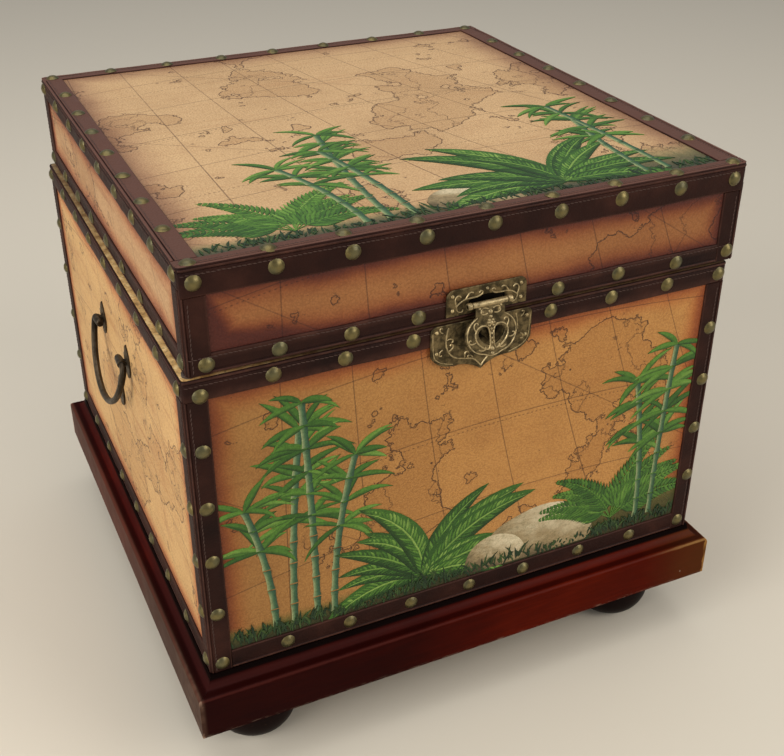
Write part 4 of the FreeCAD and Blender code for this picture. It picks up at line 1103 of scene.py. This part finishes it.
body_nails, lid_nails = new_shape(), new_shape()
high_row, low_row = body_top - BODY_TOP_STRAP / 2, body_bottom + BODY_BOTTOM_STRAP / 2
for side in SIDES:
    nail_row(body_nails, side, high_row, 0, latch_row=True, slip=SLIPPED_NAIL)
    nail_row(body_nails, side, low_row, 0)
    for step in range(1, COLUMN_GAPS):
        level = low_row + (high_row - low_row) * step / COLUMN_GAPS
        for x in (-nail_reach, nail_reach + COLUMN_SLIDE):
            drive_nail(body_nails, turned(side) @ on_front(x, strap_face, level))
    nail_row(lid_nails, side, lid_top - (LID_TOP_STRAPS[side] + STRAP) / 2, lid_shift, bow=LID_ROW_BOW)
    nail_row(lid_nails, side, lid_bottom + LID_BOTTOM_STRAP / 2, lid_shift, latch_row=True)
top_row, top_column = strap_face - TOP_FRONT_STRAP / 2, strap_face - TOP_END_STRAP / 2
for x in row_places:
    for hand in (-1, 1):
        drive_nail(lid_nails, Matrix.Translation((lid_shift + x, hand * top_row, lid_top)))
        if abs(x) < nail_reach:
            drive_nail(lid_nails, Matrix.Translation((lid_shift + hand * top_column, x, lid_top)))
add_piece("body_nail_heads", body_nails, nail_finish, "trunk", ["body_nails"], crease=60)
add_piece("lid_nail_heads", lid_nails, nail_finish, "lid", ["lid_nails"], crease=60)


# Rim paper.
# Mottled gold paper glued over the bare edges of the walls, seen in the gap under the lid.
def rim_paper():
    finish, place = new_finish("rim_paper")
    mottle = noise(place, 120.0, 5.0, 0.7)
    fleck = fade(noise(place, 420.0, 3.0), 0.53, 0.66)
    x, y, z = split(place)
    colour = ramp(mottle, (0.35, (0.32, 0.17, 0.05)), (0.5, (0.64, 0.4, 0.15)), (0.65, (0.84, 0.62, 0.3)))
    colour = mix(fleck * 0.5, colour, (0.11, 0.055, 0.024))
    # painted shade in the gap under the lid: dark along the front and the right, and towards the back on
    # the left
    unshaded = fade(x, -0.168, -0.176) * (0.25 + fade(y, 0.14, -0.08) * 0.75)
    unshaded = x.math("MAXIMUM", unshaded, fade(x, -0.1, -0.175) * fade(y, -0.16, -0.174) * 0.8)
    colour = mix(0.85 - unshaded * 0.85, colour, (0.05, 0.022, 0.011))
    return set_finish(finish, place, base_color=colour, metallic=0.12, roughness=0.42 + mottle * 0.25,
                      normal=bump(mottle, 0.0002))


dress(rim_paper(), "body_rim_cover", "lid_rim_cover")


# Linings and bumpers.
# Flocked brown paper glued inside, and two felt discs on the front corners that keep the lid's gap.
def flock(name, dark, light, pile):
    finish, place = new_finish(name)
    nap = noise(place, 38.0, 4.0)
    fibre = noise(place, 1400.0, 2.0)
    colour = mix(nap * 0.6 + fibre * 0.4, dark, light)
    return set_finish(finish, place, base_color=colour, roughness=0.95, sheen_weight=0.06,
                      sheen_roughness=0.5, normal=bump(fibre + nap * 0.3, pile))


dress(flock("flocked_paper", (0.05, 0.016, 0.01), (0.17, 0.065, 0.04), 0.0003),
      "body_lining", "lid_lining")
dress(flock("felt", (0.03, 0.02, 0.014), (0.09, 0.06, 0.045), 0.0006), "rim_bumpers")


# Hinges.
# Two brass butt hinges at the back, let into the gap and screwed into the edges of the walls.
def aged_metal(name, dark, plain, bright, roughness=0.36):
    """Metal with patches of tarnish; the vertices give 1 on bright worn relief and -1 where painted shade
    blackens a hollow.
    """
    finish, place = new_finish(name)
    wear = wear_and_light_share(place)
    patch = noise(place, 180.0, 4.0, 0.6)
    pits = noise(place, 900.0, 3.0)
    rub = fade(noise(place, 420.0, 3.0), 0.35, 0.6)
    colour = mix(fade(patch, 0.38, 0.66), dark, plain)
    colour = mix(wear * (0.45 + rub * 0.55), colour, bright)
    colour = mix(fade(wear, -0.1, -1.0), colour, (0.007, 0.005, 0.003))
    return set_finish(finish, place, base_color=colour, metallic=0.9, roughness=roughness + pits * 0.22,
                      normal=bump(pits + patch * 0.6, 0.00015))


antique_brass = aged_metal("antique_brass", (0.044, 0.033, 0.016), (0.18, 0.133, 0.063),
                           (0.5, 0.39, 0.21))
bright_brass = aged_metal("bright_brass", (0.2, 0.13, 0.05), (0.62, 0.45, 0.2), (0.8, 0.66, 0.4), 0.22)
dress(antique_brass, "hinge_body_leaves", "hinge_lid_leaves", "hinge_pins")
dress(bright_brass, "hinge_body_screws", "hinge_lid_screws")


# Latch plate and pin.
# A pressed brass plate pinned to the lid, with a scrolled relief, a recess and two ears.
# A polished pin runs through the ears.
PLATE = 0.0012
PLATE_RIM = 0.0003
RELIEF = 0.00042
upper_low, upper_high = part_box("latch_upper_plate")
pin_low, pin_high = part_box("latch_pin")
pin_middle = (pin_low + pin_high) / 2
UPPER_RADIUS = 0.005
RECESS_HALF = 0.0125
RECESS_RISE = 0.0022
RECESS_DROP = 0.001
EAR_WIDTH = 0.003
EAR_RADIUS = 0.0022
UPPER_SCROLLS = (
    ((0.0207, 0.0068), (0.0175, 0.0096), (0.013, 0.0104), (0.009, 0.0102), (0.0052, 0.0106),
     (0.003, 0.0122), (0.0034, 0.0138), (0.005, 0.0139), (0.0054, 0.0129)),
    ((0.0212, 0.0074), (0.0209, 0.0045), (0.0196, 0.0026), (0.0176, 0.002), (0.0164, 0.0028),
     (0.0167, 0.004)),
    ((0.0145, 0.0106), (0.013, 0.0134), (0.011, 0.0144), (0.0096, 0.0136)),
    ((0.0212, 0.0074), (0.0222, 0.0105), (0.021, 0.0132), (0.0188, 0.0136), (0.018, 0.0122)),
)
UPPER_STUD = (0, 0.0146), (0.0011, 0.0008)


def plate(shape, thickness):
    """Thicken outlines drawn in XY, holes among them, into a plate with a chamfered rim."""
    made = bmesh.ops.triangle_fill(shape, use_beauty=True, edges=shape.edges[:], normal=(0, 0, 1))["geom"]
    face = extrude(shape, only(bmesh.types.BMFace, made), (0, 0, thickness - PLATE_RIM))
    bmesh.ops.recalc_face_normals(shape, faces=shape.faces[:])
    bmesh.ops.inset_region(shape, faces=face, thickness=PLATE_RIM, depth=PLATE_RIM, use_even_offset=True,
                           use_boundary=True)


def wire(shape, points, radius, closed=False, sides=1, smooth=True):
    """A round wire along points, smooth between them unless they already lie close."""
    curve = bpy.data.curves.new("wire", "CURVE")
    curve.dimensions = "3D"
    curve.bevel_depth = radius
    curve.bevel_resolution = sides
    curve.use_fill_caps = True
    spline = curve.splines.new("NURBS" if smooth else "POLY")
    spline.points.add(len(points) - 1)
    for point, spot in zip(spline.points, points):
        point.co = (*spot, 1)
    spline.use_cyclic_u = closed
    spline.use_endpoint_u = not closed
    spline.order_u = 3
    spline.resolution_u = 3
    data = bpy.data.meshes.new_from_object(bpy.data.objects.new("wire", curve))
    part = new_shape()
    part.from_mesh(data)
    bmesh.ops.remove_doubles(part, verts=part.verts[:], dist=MERGE_DISTANCE)
    set_wear_and_light(part, lambda spot: 1)
    add_shape(shape, part)
    bpy.data.meshes.remove(data)
    bpy.data.curves.remove(curve)


def relief(shape, points, hand, level, radius=RELIEF, closed=False):
    """A raised line through points, drawn on the right or mirrored to the left."""
    wire(shape, [(hand * x, y, level) for x, y in points], radius, closed)


def stud(shape, x, y, level, radius, rise):
    add_shape(shape, dome(radius, rise), Matrix.Translation((x, y, level)))


def rod(shape, x, radius, length, place):
    """A short rod along X with softened ends."""
    part = new_shape()
    bmesh.ops.create_cone(part, cap_ends=True, segments=24, radius1=radius, radius2=radius, depth=length)
    ends = [edge for edge in part.edges if abs(edge.verts[0].co.z - edge.verts[1].co.z) < MERGE_DISTANCE]
    bevel(part, ends, radius * 0.2, 2)
    set_wear_and_light(part, lambda spot: 0.8)
    add_shape(shape, part, Matrix.Translation(place) @ rotation(90, "Y") @ Matrix.Translation((0, 0, x)))


upper = new_shape()
half = (upper_high.x - upper_low.x) / 2
height = upper_high.z - upper_low.z
pin_rise = pin_middle.z - upper_low.z
pen = Pen(upper, (0, 0, 1), (-half, 0, 0))
pen.line((half, 0, 0), (half, height - UPPER_RADIUS, 0))
pen.bow((half - UPPER_RADIUS, height, 0), -UPPER_RADIUS * QUARTER_BOW)
pen.line((UPPER_RADIUS - half, height, 0))
pen.bow((-half, height - UPPER_RADIUS, 0), -UPPER_RADIUS * QUARTER_BOW).close()
recess_floor = new_shape()
for shape in (upper, recess_floor):
    pen = Pen(shape, (0, 0, 1), (-RECESS_HALF, pin_rise - RECESS_DROP, 0))
    pen.line((RECESS_HALF, pin_rise - RECESS_DROP, 0), (RECESS_HALF, pin_rise + RECESS_RISE, 0))
    pen.bow((-RECESS_HALF, pin_rise + RECESS_RISE, 0), -RECESS_RISE, 8).close()
plate(upper, PLATE)
extrude(recess_floor, fill(recess_floor), (0, 0, PLATE / 4))
# painted shade: the floor of the recess behind the pin is blackened
add_shape(upper, set_wear_and_light(recess_floor, lambda spot: -1))
for hand in (1, -1):
    for points in UPPER_SCROLLS:
        relief(upper, points, hand, PLATE)
    rod(upper, hand * (pin_high.x - pin_middle.x - EAR_WIDTH / 2), EAR_RADIUS, EAR_WIDTH,
        (0, pin_rise, -pin_middle.y - strap_face))
stud(upper, *UPPER_STUD[0], PLATE, *UPPER_STUD[1])
move(upper, on_front((upper_low.x + upper_high.x) / 2, strap_face, upper_low.z))
add_piece("latch_upper_pressing", upper, antique_brass, "lid", ["latch_upper_plate"])
dress(bright_brass, "latch_pin")


# Hasp.
# A pressed brass tongue rolled round the pin, with two eyes, raised rings, a rosette and scrolls.
# It hangs from the pin and leans on the catch.
HASP = 0.0016
HASP_TILT = 10
HASP_NECK = 0.01
HASP_NECK_LENGTH = 0.008
HASP_TIP = (0.0059, -0.0327)
HASP_BELLY = 0.0101
HASP_TIP_BOW = 0.0017
EYE_CORNERS = ((0.0014, -0.0268), (0.0014, -0.0165), (0.0092, -0.0185))
EYE_BOWS = (0.0022, 0.0016)
EYE_RING = ((0.0016, -0.0286), (0.001, -0.0225), (0.0016, -0.0153), (0.0052, -0.0132),
            (0.0096, -0.0146), (0.0116, -0.0188), (0.0106, -0.0236), (0.0068, -0.0276), (0.003, -0.0294))
KNUCKLE_RADIUS = 0.0019
KNUCKLE_HALF = 0.012
HASP_BORDER = 0.0008
HASP_TENDRILS = (
    (0.0108, -0.0165, 60, 0.009, 230), (0.0112, -0.0235, -20, 0.008, 240),
    (0.0095, -0.0285, -150, 0.007, -170), (0.0015, -0.0035, 30, 0.0085, -260),
    (0.0022, -0.0062, -20, 0.0075, 230),
)
PAIRED_STUDS = (
    (0.0072, -0.0025, 0.0009, 0.0006), (0.0019, -0.0125, 0.001, 0.0008),
    (0.0012, -0.0108, 0.001, 0.0008), (0.0012, -0.0142, 0.001, 0.0008),
)
MIDDLE_STUDS = (
    (-0.0055, 0.0016), (-0.0085, 0.0012), (-0.0125, 0.0019), (-0.0165, 0.001), (-0.0195, 0.001),
    (-0.0225, 0.001), (-0.0255, 0.001), (-0.0292, 0.0017), (-0.0323, 0.0013),
)
SCROLL_STEPS = 11


def tendrils(shape, hand, level, table):
    """Raised scrolls by their start, heading, length and curl, on the right or mirrored to the left.

    Each winds tighter towards its tip, and its curl is its whole turn.
    """
    for x, y, heading, length, curl in table:
        start = math.radians(heading if hand > 0 else 180 - heading)
        spot = Vector((hand * x, y, level))
        points = [spot.copy()]
        for step in range(1, SCROLL_STEPS + 1):
            share = step / SCROLL_STEPS
            turn = start + math.radians(hand * curl) * share ** 2
            stride = length / SCROLL_STEPS * (1.35 - 0.7 * share)
            spot += Vector((math.cos(turn), math.sin(turn), 0)) * stride
            points.append(spot.copy())
        wire(shape, points, RELIEF)


def hasp_outline(shape, inset=0.0):
    pen = Pen(shape, (0, 0, 1), (inset - HASP_NECK, 0, 0))
    pen.line((inset - HASP_NECK, -HASP_NECK_LENGTH, 0))
    pen.bow((-HASP_TIP[0], HASP_TIP[1] + inset, 0), inset - HASP_BELLY, 12)
    pen.bow((HASP_TIP[0], HASP_TIP[1] + inset, 0), -HASP_TIP_BOW)
    pen.bow((HASP_NECK - inset, -HASP_NECK_LENGTH, 0), inset - HASP_BELLY, 12)
    return pen.line((HASP_NECK - inset, 0, 0))


hasp = new_shape()
hasp_outline(hasp).close()
for hand in (-1, 1):
    foot_spot, head_spot, side_spot = ((hand * x, y, 0) for x, y in EYE_CORNERS)
    pen = Pen(hasp, (0, 0, 1), foot_spot).line(head_spot)
    pen.bow(side_spot, hand * EYE_BOWS[0], 8).bow(foot_spot, hand * EYE_BOWS[1], 10).close()
plate(hasp, HASP)
guide = new_shape()
hasp_outline(guide, HASP_BORDER)
wire(hasp, [(vert.co.x, vert.co.y, HASP) for vert in guide.verts][1:-1], RELIEF, smooth=False)
guide.free()
for hand in (1, -1):
    relief(hasp, EYE_RING, hand, HASP, RELIEF * 1.2, closed=True)
    tendrils(hasp, hand, HASP, HASP_TENDRILS)
    for x, drop, radius, rise in PAIRED_STUDS:
        stud(hasp, hand * x, drop, HASP, radius, rise)
for drop, radius in MIDDLE_STUDS:
    stud(hasp, 0, drop, HASP, radius, radius * 0.7)
move(hasp, Matrix.Translation((0, 0, -HASP / 2)))
rod(hasp, 0, KNUCKLE_RADIUS, KNUCKLE_HALF * 2, (0, 0, 0))
move(hasp, Matrix.Translation(pin_middle) @ rotation(-HASP_TILT, "X") @ rotation(90, "X"))
add_piece("latch_hasp_pressing", hasp, antique_brass, "hasp", ["latch_hasp"])


# Latch shield, catch and plate pins.
# A pressed brass shield with a shallow dish and a scrolled border, pinned under the lid's gap.
# The catch is a turned button riveted to it, and the pins are small bright brass escutcheon pins.
shield_low, shield_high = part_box("latch_shield_plate")
SHIELD_CORNER = 0.004
SHIELD_SIDE = 0.0205
SHIELD_WAIST = (0.0196, -0.0295)
SHIELD_LOBE = 0.0026
SHIELD_HOLLOW = 0.0021
DISH = (0.022, 0.0088)
DISH_DROP = -0.0097
DISH_DEPTH = 0.0006
DISH_STEPS = 40
SHIELD_RIM = ((0.0232, -0.002), (0.0252, -0.009), (0.0242, -0.0178), (0.019, -0.024),
              (0.0115, -0.0258), (0.006, -0.0268), (0.0026, -0.0298), (0, -0.0335))
SHIELD_EDGE = ((0.0338, -0.004), (0.0338, -0.0195), (0.0305, -0.024), (0.0252, -0.0268),
               (0.0196, -0.0282))
SHIELD_TENDRILS = (
    (0.0252, -0.011, 150, 0.0085, 220), (0.0235, -0.0185, 165, 0.009, -240),
    (0.0115, -0.0252, 80, 0.007, 210), (0.006, -0.0262, 60, 0.006, -230),
    (0.027, -0.005, 30, 0.006, 200), (0.027, -0.0165, -30, 0.007, -220),
)
PIN_HEAD = (0.0013, 0.0009)
PIN_SHANK = 0.0005
PULLED_PIN = 0.0022
PULLED_LEAN = -0.5
PIN_LEAN = 0.2
PIN_INSET = 0.004

shield = new_shape()
half = (shield_high.x - shield_low.x) / 2
tip = shield_low.z - shield_high.z
pen = Pen(shield, (0, 0, 1), (-half, -SHIELD_CORNER, 0))
pen.line((-half, -SHIELD_SIDE, 0))
pen.bow((-SHIELD_WAIST[0], SHIELD_WAIST[1], 0), -SHIELD_LOBE, 8)
pen.bow((0, tip, 0), SHIELD_HOLLOW, 8)
pen.bow((SHIELD_WAIST[0], SHIELD_WAIST[1], 0), SHIELD_HOLLOW, 8)
pen.bow((half, -SHIELD_SIDE, 0), -SHIELD_LOBE, 8)
pen.line((half, -SHIELD_CORNER, 0))
pen.bow((half - SHIELD_CORNER, 0, 0), -SHIELD_CORNER * QUARTER_BOW)
pen.line((SHIELD_CORNER - half, 0, 0))
pen.bow((-half, -SHIELD_CORNER, 0), -SHIELD_CORNER * QUARTER_BOW).close()
dish_place = Matrix.Translation((0, DISH_DROP, 0)) @ Matrix.Diagonal((*DISH, 1, 1))
bmesh.ops.create_circle(shield, segments=DISH_STEPS, radius=1, matrix=dish_place)
plate(shield, PLATE)
dish = new_shape()
pen = Pen(dish, (0, 1, 0), (0, 0, 0)).line((1, 0, 0), (1, 0, PLATE))
pen.bow((0, 0, PLATE - DISH_DEPTH), -DISH_DEPTH / 2)
# painted shadow: the middle of the dish, under the hasp, is blackened
set_wear_and_light(lathe(dish, DISH_STEPS), lambda spot: min(0, 2.4 * math.hypot(spot.x, spot.y) - 2))
add_shape(shield, dish, dish_place)
for hand in (1, -1):
    relief(shield, SHIELD_RIM, hand, PLATE, RELIEF * 1.2)
    relief(shield, SHIELD_EDGE, hand, PLATE, RELIEF * 0.7)
    tendrils(shield, hand, PLATE, SHIELD_TENDRILS)
shield_middle = (shield_low.x + shield_high.x) / 2
move(shield, on_front(shield_middle, strap_face, shield_high.z))
add_piece("latch_shield_pressing", shield, antique_brass, "trunk", ["latch_shield_plate"])
dress(antique_brass, "latch_catch")


pin_brass = aged_metal("pin_brass", (0.1, 0.065, 0.025), (0.34, 0.24, 0.1), (0.6, 0.48, 0.26), 0.28)


def plate_pins(name, middle, half_width, levels, body, pulled=0.0):
    """Pins near the two sides of a plate; the first one on the right may be pulled part of the way out."""
    shape = new_shape()
    for level in levels:
        for hand in (-1, 1):
            out = pulled if level == levels[0] and hand > 0 else 0
            place = on_front(middle + hand * (half_width - PIN_INSET), strap_face + PLATE, level)
            lean = Matrix.Rotation(PULLED_LEAN if out else hammer.uniform(-PIN_LEAN, PIN_LEAN), 4, "Y")
            pin = dome(*PIN_HEAD)
            shank = Matrix.Translation((0, 0, -out - PLATE / 2))
            bmesh.ops.create_cone(pin, cap_ends=True, segments=8, radius1=PIN_SHANK, radius2=PIN_SHANK,
                                  depth=2 * out + PLATE, matrix=shank)
            add_shape(shape, pin, place @ lean @ Matrix.Translation((0, 0, out)))
    return add_piece(name.replace("pins", "pin_heads"), shape, pin_brass, body, [name])


plate_pins("latch_lid_pins", (upper_low.x + upper_high.x) / 2, (upper_high.x - upper_low.x) / 2,
           (upper_low.z + PIN_INSET, upper_high.z - PIN_INSET), "lid")
plate_pins("latch_body_pins", shield_middle, half,
           (shield_high.z - PIN_INSET, shield_high.z - SHIELD_SIDE + PIN_INSET / 2), "trunk", PULLED_PIN)


# Handles.
# On each end two cast leaf plates with lugs carry a bent wire bail, which hangs against a leaf striker.
# All of it is dark bronze, rubbed along the veins and where the hand takes hold.
POST_X = 0.0355
PIVOT_OUT = 0.005
LEAF_SIZE = (0.0265, 0.0128, 0.002)
STRIKER_SIZE = (0.026, 0.0125, 0.0026)
STRIKER_DROP = 0.042
STEM_RADIUS = 0.0025
LUG_MOUTH = 0.038
LUG_LENGTH = 0.0115
LUG_RADII = (0.0031, 0.0027)
LUG_ARRIS = 0.0004
WIRE_RADIUS = 0.0023
BAIL_END = 0.0262
BEND_START = 0.0383
BEND_RADIUS = 0.0045
BAIL_TILT = 11.4
ROUND_STEPS = 20
handle_level = next(joint["pos_m"][2] for joint in frame["record"]["behaviour"]["joints"]
                    if joint["name"] == "left_bail_swing")
handle_bronze = aged_metal("handle_bronze", (0.019, 0.014, 0.009), (0.055, 0.041, 0.026),
                           (0.18, 0.135, 0.085))


def leaf_plate(shape, x, y, size):
    """A pointed leaf, crowned in two steps, with raised veins."""
    length, width, rise = size
    part = new_shape()
    pen = Pen(part, (0, 0, 1), (0, length / 2, 0))
    pen.bow((0, -length / 2, 0), -width / 2, 14)
    pen.bow((0, length / 2, 0), -width / 2, 14).close()
    face = extrude(part, fill(part), (0, 0, rise * 0.45))
    for share in (0.84, 0.6):
        face = extrude(part, face, (0, 0, rise * 0.22))
        bmesh.ops.scale(part, vec=(share, share, 1), verts=face[0].verts[:])
    set_wear_and_light(part, lambda spot: 0.7 * spot.z / rise)
    veins = [[(0, length * along, rise * high)
              for along, high in ((-0.46, 0.5), (-0.2, 0.88), (0.2, 0.88), (0.46, 0.5))]]
    veins += [((0, length * (0.1 * step - 0.22), rise * 0.88),
               (hand * width * 0.32, length * (0.1 * step - 0.08), rise * 0.66))
              for step in range(4) for hand in (-1, 1)]
    for vein in veins:
        wire(part, vein, width * 0.045, smooth=False)
    add_shape(shape, part, Matrix.Translation((x, y, 0)))


def handle_lug(shape, hand):
    """A stem on a leaf and the round-nosed lug that it carries, whose mouth takes the end of the bail."""
    stem = new_shape()
    pen = Pen(stem, (0, 1, 0), (0, 0, 0))
    pen.line((STEM_RADIUS, 0, 0), (STEM_RADIUS, 0, PIVOT_OUT), (0, 0, PIVOT_OUT))
    set_wear_and_light(lathe(stem, ROUND_STEPS), lambda spot: 0.1)
    add_shape(shape, stem, Matrix.Translation((hand * POST_X, 0, 0)))
    lug = new_shape()
    mouth, nose = LUG_RADII
    pen = Pen(lug, (0, 1, 0), (0, 0, 0))
    pen.line((mouth - LUG_ARRIS, 0, 0), (mouth, 0, LUG_ARRIS), (nose, 0, LUG_LENGTH - nose / 2))
    pen.bow((0, 0, LUG_LENGTH), nose / 4, 5)
    set_wear_and_light(lathe(lug, ROUND_STEPS), lambda spot: 0.25)
    add_shape(shape, lug, Matrix.Translation((hand * LUG_MOUTH, 0, PIVOT_OUT)) @ rotation(-hand * 90, "Y"))


def grip_wear(drop):
    """How far the hand has rubbed the bail at a drop below its pivot."""
    return 0.5 * min(max(drop / (BEND_START + BEND_RADIUS), 0), 1) ** 2


def handle(side):
    place = turned(side) @ on_front(0, cover_face, handle_level)
    plates = new_shape()
    for hand in (-1, 1):
        leaf_plate(plates, hand * POST_X, 0, LEAF_SIZE)
        handle_lug(plates, hand)
    leaf_plate(plates, 0, -STRIKER_DROP, STRIKER_SIZE)
    move(plates, place)
    add_piece(f"{side}_handle_leaves", plates, handle_bronze, "trunk",
              [f"{side}_handle_plates"])
    bend_reach = math.hypot(BEND_START, BEND_RADIUS)
    bow_radius = bend_reach + BEND_RADIUS
    share = bow_radius / bend_reach
    bend_end = (BEND_START * share, -BEND_RADIUS * share)
    bend_bow = BEND_RADIUS * (1 - math.sqrt((1 - BEND_RADIUS / bend_reach) / 2))
    guide = new_shape()
    pen = Pen(guide, (0, 0, 1), (-BAIL_END, 0, 0))
    pen.line((-BEND_START, 0, 0)).bow((-bend_end[0], bend_end[1], 0), -bend_bow, 6)
    pen.bow((*bend_end, 0), -(bow_radius + bend_end[1]), 40)
    pen.bow((BEND_START, 0, 0), -bend_bow, 6).line((BAIL_END, 0, 0))
    bail = new_shape()
    wire(bail, [vert.co for vert in guide.verts], WIRE_RADIUS, sides=3, smooth=False)
    guide.free()
    set_wear_and_light(bail, lambda spot: grip_wear(-spot.y))
    move(bail, place @ (Matrix.Translation((0, 0, PIVOT_OUT)) @ rotation(-BAIL_TILT, "X")))
    add_piece(f"{side}_handle_wire", bail, handle_bronze, f"{side}_bail",
              [f"{side}_handle_bail"])


for side in ("left", "right"):
    handle(side)


# Stage.
# A pale floor under soft light, seen from where the photograph was taken.
CAMERA_PLACE = Vector((-0.3145, -0.7408, 0.6444))
CAMERA_AIM = Vector((-0.0019, -0.0645, 0.2))
SENSOR_WIDTH = 36
FOCAL_LENGTH = 54.07
FLOOR_RADIUS = 6
SKY = (0.95, 0.97, 1, 1)
SKY_STRENGTH = 0.36


def facing(place, aim):
    return (Vector(aim) - Vector(place)).to_track_quat("-Z", "Y").to_euler()


scene = bpy.context.scene
camera = bpy.data.objects.new("camera", bpy.data.cameras.new("camera"))
camera.data.sensor_width = SENSOR_WIDTH
camera.data.lens = FOCAL_LENGTH
camera.location = CAMERA_PLACE
camera.rotation_euler = facing(CAMERA_PLACE, CAMERA_AIM)
scene.collection.objects.link(camera)
scene.camera = camera
scene.view_settings.view_transform = "Standard"

floor_mesh = bmesh.new()
bmesh.ops.create_circle(floor_mesh, cap_ends=True, segments=64, radius=FLOOR_RADIUS)
floor = bpy.data.objects.new("floor", bpy.data.meshes.new("floor"))
floor_mesh.to_mesh(floor.data)
floor_mesh.free()
floor_finish, floor_place = new_finish("pale_floor")
set_finish(floor_finish, floor_place, base_color=(0.58, 0.53, 0.44, 1), roughness=0.9)
floor.data.materials.append(floor_finish)
scene.collection.objects.link(floor)


def lamp(name, place, aim, width, power, colour):
    light = bpy.data.lights.new(name, "AREA")
    light.size = width
    light.energy = power
    light.color = colour
    stand = bpy.data.objects.new(name, light)
    stand.location = place
    stand.rotation_euler = facing(place, aim)
    scene.collection.objects.link(stand)


lamp("ceiling", (-0.2, 0.1, 2.4), (0, 0, 0.3), 2.2, 27, (1, 0.98, 0.95))
lamp("window", (-2.2, -0.7, 1.3), (0, 0, 0.2), 1.6, 53, (1, 0.97, 0.93))
lamp("fill", (1.5, -1.9, 1.5), (0, 0, 0.2), 1.6, 38, (1, 0.95, 0.88))
world = bpy.data.worlds.new("studio")
world.use_nodes = True
sky = world.node_tree.nodes["Background"]
sky.inputs["Color"].default_value = SKY
sky.inputs["Strength"].default_value = SKY_STRENGTH
scene.world = world
